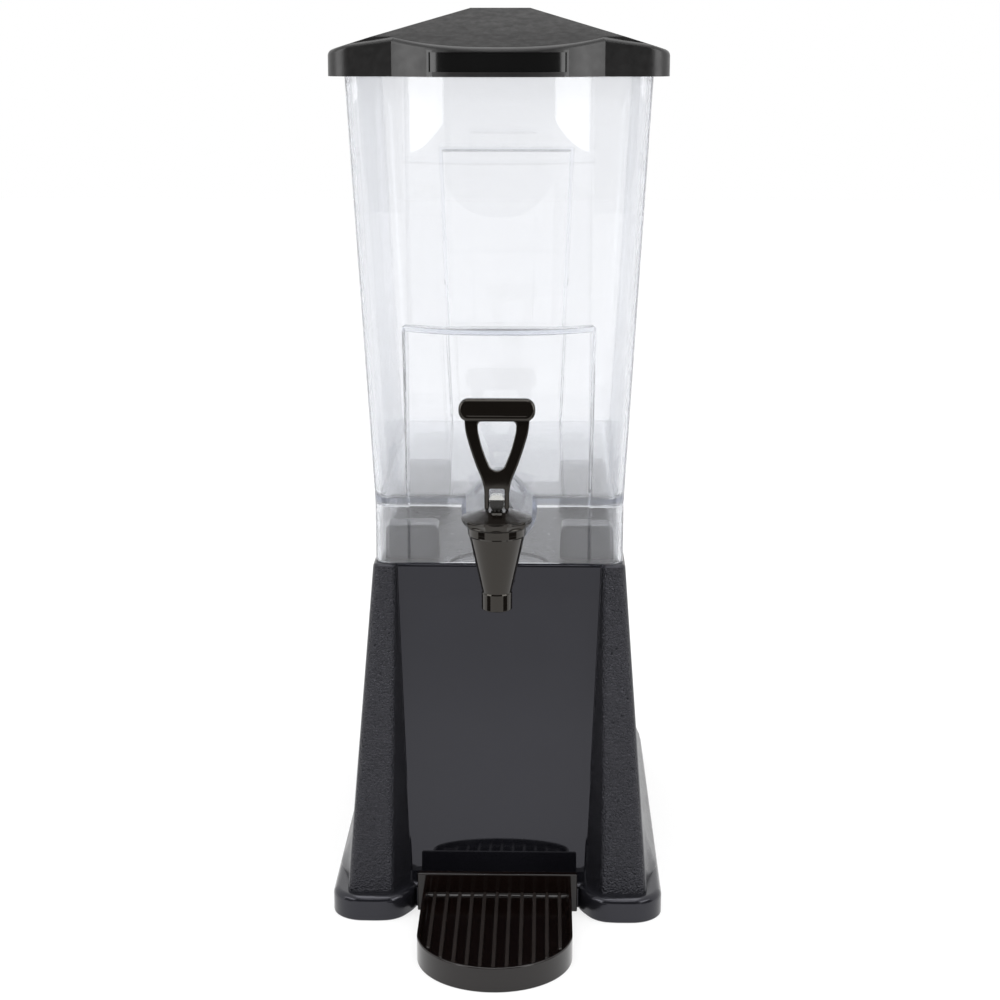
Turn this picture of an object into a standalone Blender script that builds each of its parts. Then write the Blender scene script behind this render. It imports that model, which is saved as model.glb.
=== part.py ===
"""Gravity-fed drink dispenser: a moulded base, a clear tank, a lid, a drip tray and a lever faucet.

Frame: +Z up, the front faces -Y, origin under the middle of the object on the table.
"""

import math

import bmesh
import bpy
from mathutils import Vector

MM = 0.001
GAP = 0.3 * MM
WALL = 3.0 * MM

# Tank: a tapered box over a straight skirt, with a bulged upper front and recessed lower panels.
TANK_FLOOR_Z = 270.6 * MM
TANK_RIM_Z = 562.0 * MM
TANK_HALF_WIDTH = 84.3 * MM
TANK_FRONT_Y = -51.5 * MM
TANK_REAR_Y = 198.5 * MM
TANK_DRAFT = 0.052
TANK_CORNER = 12.0 * MM
FLOOR_SLOPE = 0.036
BULGE_HALF_WIDTH = 61.5 * MM
BULGE_DEPTH = 20.0 * MM
BULGE_LEDGE_Z = 388.5 * MM
FRONT_PANEL_Y = -50.3 * MM
REAR_LEDGE_Z = 492.0 * MM
REAR_PANEL_Y = 197.5 * MM
REAR_PANEL_HALF_WIDTH = 41.5 * MM
REAR_PANEL_TAPER = 0.039
PANEL_EDGE = 1.5 * MM
STEP = 0.5 * MM
WALL_FRONT_INSIDE = TANK_FRONT_Y + 1.2 * MM + WALL
SUMP_RADIUS = 25.5 * MM
SUMP_Z = 267.0 * MM
SUMP_DRUM_Y = -34.0 * MM
SUMP_REAR_Y = 45.0 * MM
SUMP_TIP_RADIUS = 5.0 * MM

# Lid: a hip roof at one slope over a band that follows the tank's outline.
LID_EDGE_Z = 553.5 * MM
LID_HALF_WIDTH = 108.8 * MM
LID_FRONT_Y = -75.5 * MM
LID_REAR_Y = 222.5 * MM
LID_CORNER = 15.0 * MM
LID_BULGE_HALF_WIDTH = 67.3 * MM
LID_REST_Z = TANK_RIM_Z + GAP
RIDGE_Z = 596.5 * MM
RIDGE_HALF_WIDTH = 19.6 * MM
RIDGE_FRONT_Y = -12.5 * MM
RIDGE_REAR_Y = 159.5 * MM
ROOF_SLOPE = math.tan(math.radians(17.0))
LABEL_HALF_WIDTH = 43.0 * MM

# Base: two sloped front columns beside a recessed panel, flaring into a flat foot flange.
DECK_Z = 229.7 * MM
BASE_TOP_HALF_WIDTH = 85.6 * MM
BASE_FRONT_Y = -53.0 * MM
BASE_REAR_Y = 200.0 * MM
COLUMN_INNER_X = 70.5 * MM
COLUMN_SLOPE = 0.2712
PANEL_TOP_Y = -49.6 * MM
PANEL_SLOPE = 0.12
PANEL_TOP_HALF_WIDTH = 69.8 * MM
PANEL_TAPER = 0.0443
SIDE_SLOPE = 0.0721
REAR_SLOPE = 0.055
FLARE_TOP_Z = 67.0 * MM
FLARE_WIDTH = 9.9 * MM
FLANGE_HEIGHT = 17.0 * MM
FLANGE_HALF_WIDTH = 111.0 * MM
FLANGE_REAR_Y = 220.0 * MM
FOOT_FRONT_Y = -120.5 * MM
LUG_HEIGHT = 23.0 * MM
LUG_INNER_X = 41.0 * MM
LUG_OUTER_X = 79.3 * MM
LUG_DEPTH = 29.0 * MM
LUG_CORNER = 6.0 * MM
FRONT_LUG_Y = -37.5 * MM
REAR_LUG_Y = 150.0 * MM
RELIEF_RADIUS = 34.0 * MM

# Drip tray: a D-shaped dish with low ribs and a taller rear wall.
TRAY_RADIUS = 50.1 * MM
TRAY_FRONT_Y = -222.5 * MM
TRAY_REAR_Y = -97.0 * MM
TRAY_RIM_Z = 16.6 * MM
TRAY_FLOOR_Z = 11.2 * MM
TRAY_BACK_Z = 26.6 * MM
TRAY_BACK_HALF_WIDTH = 54.1 * MM
TRAY_BACK_THICKNESS = 5.5 * MM
TRAY_WALL = 2.5 * MM
RIB_COUNT = 11
RIB_PITCH = 8.4 * MM
RIB_WIDTH = 2.5 * MM
RIB_HEIGHT = 3.4 * MM

# Faucet: an upright valve in front of the tank, on a horizontal threaded shank.
VALVE_Y = -110.0 * MM
SPOUT_Z = 215.4 * MM
BODY_TOP_Z = 267.0 * MM
BONNET_TOP_Z = 281.4 * MM
BONNET_LOBES = 5
SHANK_Z = 259.0 * MM
SHANK_RADIUS = 8.0 * MM
SHANK_REAR_Y = -32.0 * MM
COLLAR_RADIUS = 13.0 * MM
COLLAR_FRONT_Y = -58.0 * MM
COLLAR_REAR_Y = -54.8 * MM
PIVOT_Z = 287.5 * MM
PIN_RADIUS = 1.5 * MM
NECK_HALF_WIDTH = 8.0 * MM
HANDLE_TOP_Z = 354.0 * MM
HANDLE_THICKNESS = 8.0 * MM
SPRING_LOW_Z = 254.8 * MM
SPRING_HIGH_Z = 277.7 * MM
SPRING_RADIUS = 6.3 * MM
SPRING_WIRE = 0.6 * MM
SPRING_TURNS = 5

ROUND_STEPS = 32
CORNER_STEPS = 5

FINISHES = {
    "black_satin": ((0.020, 0.019, 0.018), 0.45, 0.0),
    "charcoal": ((0.035, 0.036, 0.040), 0.35, 0.0),
    "gloss_black": ((0.010, 0.009, 0.009), 0.12, 0.0),
    "clear": ((0.90, 0.92, 0.95), 0.05, 0.0),
    "rubber": ((0.05, 0.05, 0.05), 0.75, 0.0),
    "silicone": ((0.70, 0.70, 0.68), 0.55, 0.0),
    "steel": ((0.60, 0.60, 0.60), 0.30, 1.0),
}


# ---------------------------------------------------------------- helpers

def clear_scene():
    for old in list(bpy.data.objects):
        bpy.data.objects.remove(old)


def finish_material(name, finish):
    colour, roughness, metallic = FINISHES[finish]
    material = bpy.data.materials.new(name)
    material.use_nodes = True
    shader = material.node_tree.nodes["Principled BSDF"]
    shader.inputs["Base Color"].default_value = (*colour, 1.0)
    shader.inputs["Roughness"].default_value = roughness
    shader.inputs["Metallic"].default_value = metallic
    return material


def solid(name, vertices, faces, finish=None, origin=(0.0, 0.0, 0.0), smooth=30.0):
    """An object from world-space vertices, with its origin at a point; a cutter when it has no finish."""
    shift = Vector(origin)
    mesh = bpy.data.meshes.new(name)
    mesh.from_pydata([Vector(point) - shift for point in vertices], [], faces)
    work = bmesh.new()
    work.from_mesh(mesh)
    bmesh.ops.recalc_face_normals(work, faces=work.faces)
    work.to_mesh(mesh)
    work.free()
    mesh.shade_smooth()
    mesh.set_sharp_from_angle(angle=math.radians(smooth))
    piece = bpy.data.objects.new(name, mesh)
    piece.location = shift
    bpy.context.scene.collection.objects.link(piece)
    if finish is None:
        piece.hide_render = True
        piece.display_type = "WIRE"
    else:
        mesh.materials.append(finish_material(name, finish))
    return piece


def loft(name, rings, finish=None, origin=(0.0, 0.0, 0.0), smooth=30.0):
    """A closed solid through rings of equal length, with flat ends."""
    count = len(rings[0])
    vertices = [point for ring in rings for point in ring]
    faces = [tuple(range(count)), tuple(range(len(vertices) - count, len(vertices)))]
    for level in range(len(rings) - 1):
        for i in range(count):
            j = (i + 1) % count
            low, high = level * count, (level + 1) * count
            faces.append((low + i, low + j, high + j, high + i))
    return solid(name, vertices, faces, finish, origin, smooth)


def combine(target, tool, operation):
    modifier = target.modifiers.new(tool.name, "BOOLEAN")
    modifier.operation = operation
    modifier.object = tool
    tool.hide_render = True
    tool.display_type = "WIRE"


def cut(target, *tools):
    for tool in tools:
        combine(target, tool, "DIFFERENCE")


def join(target, *tools):
    for tool in tools:
        combine(target, tool, "UNION")


def at_height(outline, height):
    """The plan outline as a ring at a height, which may be a function of x and y."""
    level = height if callable(height) else lambda x, y: height
    return [(x, y, level(x, y)) for x, y in outline]


def inset(outline, distance):
    """A counter-clockwise outline moved inwards, with mitred corners."""
    moved = []
    for i, (x, y) in enumerate(outline):
        before = Vector(outline[i - 1])
        after = Vector(outline[(i + 1) % len(outline)])
        here = Vector((x, y))
        first = (here - before).normalized()
        second = (after - here).normalized()
        inward_first = Vector((-first.y, first.x))
        inward_second = Vector((-second.y, second.x))
        bisector = inward_first + inward_second
        moved.append(tuple(here + bisector * (distance * 2.0 / bisector.length_squared)))
    return moved


def arc(centre, radius, start, end, steps):
    """Points of an arc in degrees, both ends included."""
    angles = [math.radians(start + (end - start) * i / steps) for i in range(steps + 1)]
    return [(centre[0] + radius * math.cos(a), centre[1] + radius * math.sin(a)) for a in angles]


def rounded_box_outline(low, high, radius, steps=CORNER_STEPS):
    corners = [
        ((high[0] - radius, high[1] - radius), 0.0),
        ((low[0] + radius, high[1] - radius), 90.0),
        ((low[0] + radius, low[1] + radius), 180.0),
        ((high[0] - radius, low[1] + radius), 270.0),
    ]
    rounds = [arc(centre, radius, start, start + 90.0, steps) for centre, start in corners]
    return [point for corner in rounds for point in corner]


def mirrored(half):
    """A closed counter-clockwise outline from its right half, listed from front centre to rear centre."""
    return half + [(-x, y) for x, y in reversed(half) if x > 1e-6]


def revolved(name, profile, finish=None, steps=ROUND_STEPS, shape=None, closed=False):
    """A turned solid on the valve's axis, from (radius, z) pairs; a closed profile makes a ring or a tube."""
    shape = shape or (lambda angle: 1.0)
    vertices, columns = [], []
    for radius, z in profile:
        if radius < 1e-7:
            columns.append([len(vertices)] * steps)
            vertices.append((0.0, VALVE_Y, z))
            continue
        columns.append([len(vertices) + i for i in range(steps)])
        for i in range(steps):
            angle = 2.0 * math.pi * i / steps
            reach = radius * shape(angle)
            vertices.append((reach * math.cos(angle), VALVE_Y + reach * math.sin(angle), z))
    pairs = list(zip(columns, columns[1:]))
    if closed:
        pairs.append((columns[-1], columns[0]))
    faces = []
    for first, second in pairs:
        for i in range(steps):
            j = (i + 1) % steps
            loop = list(dict.fromkeys((first[i], first[j], second[j], second[i])))
            if len(loop) > 2:
                faces.append(tuple(loop))
    return solid(name, vertices, faces, finish)


def along_y(name, outline_xz, front, rear, finish=None, origin=(0.0, 0.0, 0.0), smooth=30.0):
    """An outline in the XZ plane carried along Y."""
    rings = [[(x, y, z) for x, z in outline_xz] for y in (front, rear)]
    return loft(name, rings, finish, origin, smooth)


def circle(radius, centre=(0.0, 0.0), steps=ROUND_STEPS):
    return arc(centre, radius, 0.0, 360.0 * (steps - 1) / steps, steps - 1)


def shank_ring(name, inner, outer, front, rear, finish, outer_steps=ROUND_STEPS):
    """A washer or nut on the shank's axis."""
    piece = along_y(name, circle(outer, (0.0, SHANK_Z), outer_steps), front, rear, finish)
    bore = along_y(name + "_bore", circle(inner, (0.0, SHANK_Z)), front - MM, rear + MM)
    cut(piece, bore)
    return piece


# ---------------------------------------------------------------- plan outlines

def front_profile(half_width, front_y, depth, steps=12):
    """Right half of a front with a convex bulge (positive depth), from the centre to the bulge's edge."""
    points = []
    for i in range(steps + 1):
        share = math.sin(0.5 * math.pi * i / steps)
        points.append((half_width * share, front_y - depth * (1.0 - share ** 2.5)))
    return points


def recess_profile(half_width, corner_y, panel_y, steps=12):
    """Right half of a front with a flat recessed panel and steep ends, in as many points as the bulge."""
    inner = half_width - PANEL_EDGE
    points = [(inner * math.sin(0.5 * math.pi * i / steps), panel_y) for i in range(steps)]
    return points[:-1] + [(inner, panel_y), (half_width, corner_y)]


def tank_outline(z, front_bulged, rear_flat):
    lift = max(0.0, z - TANK_FLOOR_Z) * TANK_DRAFT
    half_width = TANK_HALF_WIDTH + lift
    front_y = TANK_FRONT_Y - lift
    rear_y = TANK_REAR_Y + lift
    if front_bulged:
        half = front_profile(BULGE_HALF_WIDTH, front_y, BULGE_DEPTH)
    else:
        half = recess_profile(BULGE_HALF_WIDTH, front_y, FRONT_PANEL_Y)
    half += arc((half_width - TANK_CORNER, front_y + TANK_CORNER), TANK_CORNER, -90.0, 0.0, CORNER_STEPS)
    half += arc((half_width - TANK_CORNER, rear_y - TANK_CORNER), TANK_CORNER, 0.0, 90.0, CORNER_STEPS)
    panel_half_width = REAR_PANEL_HALF_WIDTH + REAR_PANEL_TAPER * max(0.0, z - TANK_FLOOR_Z)
    panel_y = rear_y if rear_flat else REAR_PANEL_Y
    half += [(panel_half_width + PANEL_EDGE, rear_y), (panel_half_width, panel_y), (0.0, panel_y)]
    return mirrored(half)


def lid_outline():
    half = front_profile(LID_BULGE_HALF_WIDTH, LID_FRONT_Y, BULGE_DEPTH)
    centre_x = LID_HALF_WIDTH - LID_CORNER
    half += arc((centre_x, LID_FRONT_Y + LID_CORNER), LID_CORNER, -90.0, 0.0, CORNER_STEPS)
    half += arc((centre_x, LID_REAR_Y - LID_CORNER), LID_CORNER, 0.0, 90.0, CORNER_STEPS)
    return mirrored(half + [(0.0, LID_REAR_Y)])


def base_outline(z):
    """Plan of the housing above the flange: recessed panel, two columns, and sides that flare at the foot."""
    drop = DECK_Z - z
    panel_y = PANEL_TOP_Y - PANEL_SLOPE * drop
    panel_x = PANEL_TOP_HALF_WIDTH - PANEL_TAPER * drop
    column_y = BASE_FRONT_Y - COLUMN_SLOPE * drop
    column_x = BASE_TOP_HALF_WIDTH + SIDE_SLOPE * drop
    share = (FLARE_TOP_Z - z) / (FLARE_TOP_Z - FLANGE_HEIGHT)
    flare = min(1.0, max(0.0, share)) ** 2 * FLARE_WIDTH
    side_x = column_x + 0.9 * flare
    rear_y = BASE_REAR_Y + REAR_SLOPE * drop + 0.6 * flare
    edge = 5.0 * MM
    half = [(0.0, panel_y), (panel_x, panel_y), (COLUMN_INNER_X, column_y)]
    half += arc((column_x - edge, column_y + edge), edge, -90.0, 0.0, 4)
    half += [(column_x + 0.15 * flare, column_y + 22.0 * MM)]
    half += [(column_x + 0.75 * flare, column_y + 36.0 * MM)]
    half += [(side_x, column_y + 50.0 * MM)]
    half += arc((side_x - TANK_CORNER, rear_y - TANK_CORNER), TANK_CORNER, 0.0, 90.0, CORNER_STEPS)
    return mirrored(half + [(0.0, rear_y)])


def flange_outline():
    """Plan of the foot flange: two rounded front feet, joined by a straight edge behind the drip tray."""
    behind_tray = TRAY_REAR_Y + 2.0 * GAP
    sweep_x = 54.8 * MM
    half = [(0.0, behind_tray), (sweep_x, behind_tray)]
    half += [(56.5 * MM, -101.5 * MM), (59.5 * MM, -107.5 * MM)]
    half += [(64.0 * MM, -114.5 * MM), (70.5 * MM, -119.0 * MM)]
    half += [(78.0 * MM, FOOT_FRONT_Y), (90.0 * MM, FOOT_FRONT_Y)]
    toe = 21.0 * MM
    half += arc((FLANGE_HALF_WIDTH - toe, FOOT_FRONT_Y + toe), toe, -80.0, 0.0, CORNER_STEPS)
    heel = 16.0 * MM
    half += arc((FLANGE_HALF_WIDTH - heel, FLANGE_REAR_Y - heel), heel, 0.0, 90.0, CORNER_STEPS)
    return mirrored(half + [(0.0, FLANGE_REAR_Y)])


def tray_outline(radius, rear_y):
    centre_y = TRAY_FRONT_Y + TRAY_RADIUS
    front = arc((0.0, centre_y), radius, -90.0, 0.0, 12)
    return mirrored(front + [(radius, rear_y), (0.0, rear_y)])


# ---------------------------------------------------------------- base and tray

def make_base():
    heights = [6.0, 17.0, 24.0, 33.0, 47.0, 67.0, 140.0]
    levels = [height * MM for height in heights]
    housing = loft("base_housing", [at_height(base_outline(z), z) for z in levels + [DECK_Z]], "charcoal")
    edge = flange_outline()
    rounding = [(0.0, 0.8), (1.0, 0.0), (12.5, 0.0), (15.6, 1.0), (FLANGE_HEIGHT / MM, 3.2)]
    flange = loft("flange", [at_height(inset(edge, back * MM), z * MM) for z, back in rounding])
    inner_levels = [-1.0 * MM] + levels[1:] + [DECK_Z - WALL]
    hollow = loft("housing_hollow", [housing_inner_ring(z, WALL) for z in inner_levels])
    core_levels = (-3.0 * MM, 7.0 * MM, 17.0 * MM, 19.0 * MM)
    core_hollow = loft("core_hollow", [housing_inner_ring(z, WALL + 0.05 * MM) for z in core_levels])
    flange_inner = inset(edge, WALL)
    flange_hollow = loft("flange_hollow", [at_height(flange_inner, z * MM) for z in (-2.0, 13.7)])
    cut(housing, hollow)
    for side in (-1.0, 1.0):
        for place, front_y in (("front", FRONT_LUG_Y), ("rear", REAR_LUG_Y)):
            make_lug(housing, side, place, front_y)
    cut(housing, loft("sump_relief", relief_rings()))
    join(housing, flange)
    cut(housing, flange_hollow, core_hollow)
    return housing


def housing_inner_ring(z, back):
    return at_height(inset(base_outline(max(z, 10.0 * MM)), back), z)


def relief_rings():
    """A shallow half-round relief in the deck, under the sump."""
    half = arc((0.0, TANK_FRONT_Y + 4.0 * MM), RELIEF_RADIUS, 0.0, 180.0, 16)
    return [at_height(half, z) for z in (DECK_Z - 1.2 * MM, DECK_Z + MM)]


def make_lug(housing, side, place, front_y):
    """A hollow locating lug on the deck, inside the tank's skirt."""
    low_x, high_x = sorted((side * LUG_INNER_X, side * LUG_OUTER_X))
    outline = rounded_box_outline((low_x, front_y), (high_x, front_y + LUG_DEPTH), LUG_CORNER, 4)
    top = DECK_Z + LUG_HEIGHT
    steps = [(DECK_Z - 1.5 * MM, 0.0), (top - 5.0 * MM, 0.8), (top - 1.5 * MM, 2.3), (top, 5.0)]
    label = f"lug_{place}_{'left' if side < 0 else 'right'}"
    lug = loft(label, [at_height(inset(outline, back * MM), z) for z, back in steps])
    hollow = inset(outline, WALL)
    pocket = loft(label + "_hollow", [at_height(hollow, z) for z in (DECK_Z - 8.0 * MM, top - 6.5 * MM)])
    join(housing, lug)
    cut(housing, pocket)


def make_tray():
    outer = tray_outline(TRAY_RADIUS, TRAY_REAR_Y - MM)
    tray = loft("drip_tray", [at_height(outer, z) for z in (0.0, TRAY_RIM_Z)], "gloss_black")
    back = [
        (TRAY_BACK_HALF_WIDTH, TRAY_REAR_Y), (-TRAY_BACK_HALF_WIDTH, TRAY_REAR_Y),
        (-TRAY_BACK_HALF_WIDTH, TRAY_REAR_Y - TRAY_BACK_THICKNESS),
        (TRAY_BACK_HALF_WIDTH, TRAY_REAR_Y - TRAY_BACK_THICKNESS),
    ]
    wall = loft("tray_back", [at_height(back, z) for z in (0.0, TRAY_BACK_Z)])
    rear_inside = TRAY_REAR_Y - TRAY_BACK_THICKNESS
    inner = tray_outline(TRAY_RADIUS - TRAY_WALL, rear_inside)
    well = loft("tray_well", [at_height(inner, z) for z in (TRAY_FLOOR_Z, TRAY_RIM_Z + MM)])
    under = loft("tray_underside", [at_height(inner, z) for z in (-MM, TRAY_FLOOR_Z - TRAY_WALL)])
    cut(tray, well, under)
    join(tray, wall)
    for index in range(RIB_COUNT):
        join(tray, make_rib(index))
    return tray


def make_rib(index):
    x = (index - (RIB_COUNT - 1) / 2) * RIB_PITCH
    reach = TRAY_RADIUS - TRAY_WALL - 2.6 * MM
    front = TRAY_FRONT_Y + TRAY_RADIUS - math.sqrt(reach ** 2 - x ** 2)
    rear = TRAY_REAR_Y - TRAY_BACK_THICKNESS - 2.5 * MM
    half = 0.5 * RIB_WIDTH
    outline = arc((x, rear), half, 0.0, 180.0, 4) + arc((x, front), half, 180.0, 360.0, 4)
    heights = (TRAY_FLOOR_Z - MM, TRAY_FLOOR_Z + RIB_HEIGHT)
    return loft(f"rib_{index}", [at_height(outline, z) for z in heights])


# ---------------------------------------------------------------- tank and lid

def floor_underside(x, y):
    return TANK_FLOOR_Z + FLOOR_SLOPE * (y - TANK_FRONT_Y)


def floor_top(x, y):
    return floor_underside(x, y) + WALL


def tank_rings(inner):
    """Rings up the tank's wall: the outer face, or the cavity one wall inside it."""
    back = WALL if inner else 0.0
    rise = WALL if inner else 0.0
    front_ledge = BULGE_LEDGE_Z + rise
    rear_ledge = REAR_LEDGE_Z + rise
    top = TANK_RIM_Z + (MM if inner else 0.0)
    low = [(TANK_FLOOR_Z + rise, floor_top, False, False)] if inner else [
        (DECK_Z + GAP, DECK_Z + GAP, False, False), (TANK_FLOOR_Z, TANK_FLOOR_Z, False, False)]
    upper = [
        (front_ledge, front_ledge, False, False), (front_ledge + STEP, front_ledge + STEP, True, False),
        (rear_ledge, rear_ledge, True, False), (rear_ledge + STEP, rear_ledge + STEP, True, True),
        (top, top, True, True),
    ]
    rings = []
    for z, height, bulged, flat in low + upper:
        rings.append(at_height(inset(tank_outline(z, bulged, flat), back), height))
    return rings


def sump_ring(y, radius, centre_z, top_z):
    """A ring across the sump: round below, straight-sided up to its top."""
    lower = arc((0.0, centre_z), radius, 180.0, 360.0, 20)
    outline = lower + [(radius, top_z), (-radius, top_z)]
    return [(x, y, z) for x, z in outline]


def make_tank():
    tank = loft("tank", tank_rings(False), "clear")
    cavity = loft("tank_cavity", tank_rings(True))
    skirt = inset(tank_outline(0.0, False, False), WALL)
    skirt_hollow = loft("skirt_hollow", [at_height(skirt, DECK_Z - MM), at_height(skirt, floor_underside)])
    sump_front = TANK_FRONT_Y + 2.2 * MM
    sump_top = TANK_FLOOR_Z + 0.5 * WALL
    open_top = TANK_FLOOR_Z + 8.0 * MM
    tip = SUMP_TIP_RADIUS
    tip_z = floor_underside(0.0, SUMP_REAR_Y)
    outer = loft("sump_shell", [
        sump_ring(sump_front, SUMP_RADIUS, SUMP_Z, sump_top),
        sump_ring(SUMP_DRUM_Y, SUMP_RADIUS, SUMP_Z, sump_top),
        sump_ring(SUMP_REAR_Y, tip, tip_z, tip_z + 0.5 * WALL),
    ])
    inner = loft("sump_hollow", [
        sump_ring(WALL_FRONT_INSIDE, SUMP_RADIUS - WALL, SUMP_Z, open_top),
        sump_ring(SUMP_DRUM_Y - MM, SUMP_RADIUS - WALL, SUMP_Z, open_top),
        sump_ring(SUMP_REAR_Y - 3.0 * MM, tip - WALL, tip_z, tip_z + 8.0 * MM),
    ])
    round_hole = circle(SHANK_RADIUS + 0.4 * MM, (0.0, SHANK_Z))
    hole = along_y("shank_hole", round_hole, TANK_FRONT_Y - MM, WALL_FRONT_INSIDE + MM)
    cut(tank, cavity, skirt_hollow)
    join(tank, outer)
    cut(tank, inner, hole)
    return tank


def roof_block(name, lowered):
    """A frustum with the lid's four roof slopes."""
    foot_z = 540.0 * MM
    spread = (RIDGE_Z - foot_z) / ROOF_SLOPE
    rings = []
    for z, out in ((foot_z, spread), (RIDGE_Z, 0.0)):
        x = RIDGE_HALF_WIDTH + out
        rear, front = RIDGE_REAR_Y + out, RIDGE_FRONT_Y - out
        plan = [(x, rear), (-x, rear), (-x, front), (x, front)]
        rings.append(at_height(plan, z - lowered))
    return loft(name, rings)


def make_lid():
    outline = lid_outline()
    lid = loft("lid", [at_height(outline, z) for z in (LID_EDGE_Z, RIDGE_Z + 5.0 * MM)], "black_satin")
    combine(lid, roof_block("roof", 0.0), "INTERSECT")
    inner = inset(outline, WALL)
    hollow = loft("lid_hollow", [at_height(inner, z) for z in (LID_EDGE_Z - MM, RIDGE_Z + 5.0 * MM)])
    combine(hollow, roof_block("roof_inside", WALL), "INTERSECT")
    cut(lid, hollow)
    ledge = lid_ring("lid_ledge", outline, 2.0, 18.0, LID_REST_Z, LID_REST_Z + 3.0 * MM)
    lip = lid_ring("lid_lip", outline, 15.2, 18.0, LID_EDGE_Z + 2.0 * MM, LID_REST_Z + 1.5 * MM)
    join(lid, ledge, lip)
    cut(lid, label_pocket(outline))
    return lid


def lid_ring(name, outline, outer, inner, low, high):
    ring = loft(name, [at_height(inset(outline, outer * MM), z) for z in (low, high)])
    hole = loft(name + "_hole", [at_height(inset(outline, inner * MM), z) for z in (low - MM, high + MM)])
    cut(ring, hole)
    return ring


def label_pocket(outline):
    """A shallow plain pocket that follows the lid's bulge."""
    reach = LABEL_HALF_WIDTH
    face = [point for point in inset(outline, 1.0 * MM) if abs(point[0]) < reach and point[1] < 0.0]
    face.sort()
    far_y = LID_FRONT_Y - BULGE_DEPTH - 5.0 * MM
    end_y = LID_FRONT_Y - 12.3 * MM
    plan = [(reach, far_y), (reach, end_y)] + face[::-1] + [(-reach, end_y), (-reach, far_y)]
    return loft("label_pocket", [at_height(plan, z * MM) for z in (556.5, 568.5)])


# ---------------------------------------------------------------- faucet

def make_faucet_body():
    profile = [
        (0.0, SPOUT_Z), (10.0 * MM, SPOUT_Z), (10.0 * MM, 226.5 * MM), (9.9 * MM, 227.5 * MM),
        (18.0 * MM, 265.0 * MM), (18.7 * MM, BODY_TOP_Z), (0.0, BODY_TOP_Z),
    ]
    body = revolved("faucet_body", profile, "gloss_black")
    shank = along_y("shank", circle(SHANK_RADIUS, (0.0, SHANK_Z)), VALVE_Y + 8.0 * MM, SHANK_REAR_Y)
    neck = along_y("shank_neck", circle(9.5 * MM, (0.0, SHANK_Z - 2.0 * MM)), VALVE_Y + 8.5 * MM, -56.0 * MM)
    collar = along_y("shank_collar", circle(COLLAR_RADIUS, (0.0, SHANK_Z)), COLLAR_FRONT_Y, COLLAR_REAR_Y)
    chamber = revolved("valve_chamber", [
        (0.0, SPOUT_Z - MM), (7.5 * MM, SPOUT_Z - MM), (7.5 * MM, 226.0 * MM), (6.0 * MM, 229.0 * MM),
        (6.0 * MM, 231.0 * MM), (9.8 * MM, 236.0 * MM), (14.5 * MM, 258.0 * MM), (14.8 * MM, BODY_TOP_Z + MM),
        (0.0, BODY_TOP_Z + MM),
    ])
    bore = along_y("shank_bore", circle(5.0 * MM, (0.0, SHANK_Z)), VALVE_Y + 2.0 * MM, SHANK_REAR_Y + MM)
    join(body, shank, neck, collar)
    cut(body, chamber, bore)
    return body


def lobed(angle):
    """The bonnet's grip: flat-topped lobes with narrow scallops, one lobe facing front."""
    wave = 0.5 + 0.5 * math.cos(BONNET_LOBES * (angle + 0.5 * math.pi))
    return 0.93 + 0.07 * wave ** 0.5


def make_bonnet():
    low = BODY_TOP_Z + GAP
    steps = 50
    bonnet = revolved("faucet_bonnet", [
        (0.0, low + 1.2 * MM), (18.7 * MM, low + 1.2 * MM), (20.5 * MM, low + 3.0 * MM),
        (23.0 * MM, low + 6.5 * MM), (23.0 * MM, low + 11.0 * MM), (21.5 * MM, BONNET_TOP_Z),
        (0.0, BONNET_TOP_Z),
    ], "gloss_black", steps, lobed)
    rim_radius, rim_top = 18.2 * MM, low + 2.3 * MM
    rim = revolved("bonnet_rim", [(0.0, low), (rim_radius, low), (rim_radius, rim_top), (0.0, rim_top)])
    space = revolved("bonnet_space", [
        (0.0, low - MM), (15.0 * MM, low - MM), (15.0 * MM, 274.0 * MM), (9.0 * MM, SPRING_HIGH_Z + GAP),
        (3.5 * MM, SPRING_HIGH_Z + GAP), (3.5 * MM, BONNET_TOP_Z + MM), (0.0, BONNET_TOP_Z + MM),
    ])
    join(bonnet, rim)
    cut(bonnet, space)
    return bonnet


def make_stem():
    rod = 3.0 * MM
    collar = 7.2 * MM
    stem = revolved("valve_stem", [
        (0.0, 236.3 * MM), (rod, 236.3 * MM), (rod, SPRING_LOW_Z - 3.0 * MM),
        (collar, SPRING_LOW_Z - 2.3 * MM), (collar, SPRING_LOW_Z - GAP),
        (rod, SPRING_LOW_Z - GAP), (rod, 284.0 * MM), (0.0, 284.0 * MM),
    ], "steel", 24)
    tang_outline = rounded_box_outline((-4.4 * MM, 282.2 * MM), (4.4 * MM, 291.6 * MM), 2.0 * MM, 3)
    tang = along_y("stem_tang", tang_outline, VALVE_Y - rod, VALVE_Y + rod)
    eye = cross_hole("stem_eye", PIN_RADIUS + 0.1 * MM, 6.0 * MM)
    join(stem, tang)
    cut(stem, eye)
    return stem


def cross_hole(name, radius, reach, finish=None):
    """A cylinder along X on the handle's pivot axis."""
    points = circle(radius, (VALVE_Y, PIVOT_Z), 20)
    rings = [[(x, y, z) for y, z in points] for x in (-reach, reach)]
    origin = (0.0, VALVE_Y, PIVOT_Z) if finish else (0.0, 0.0, 0.0)
    return loft(name, rings, finish, origin)


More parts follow.
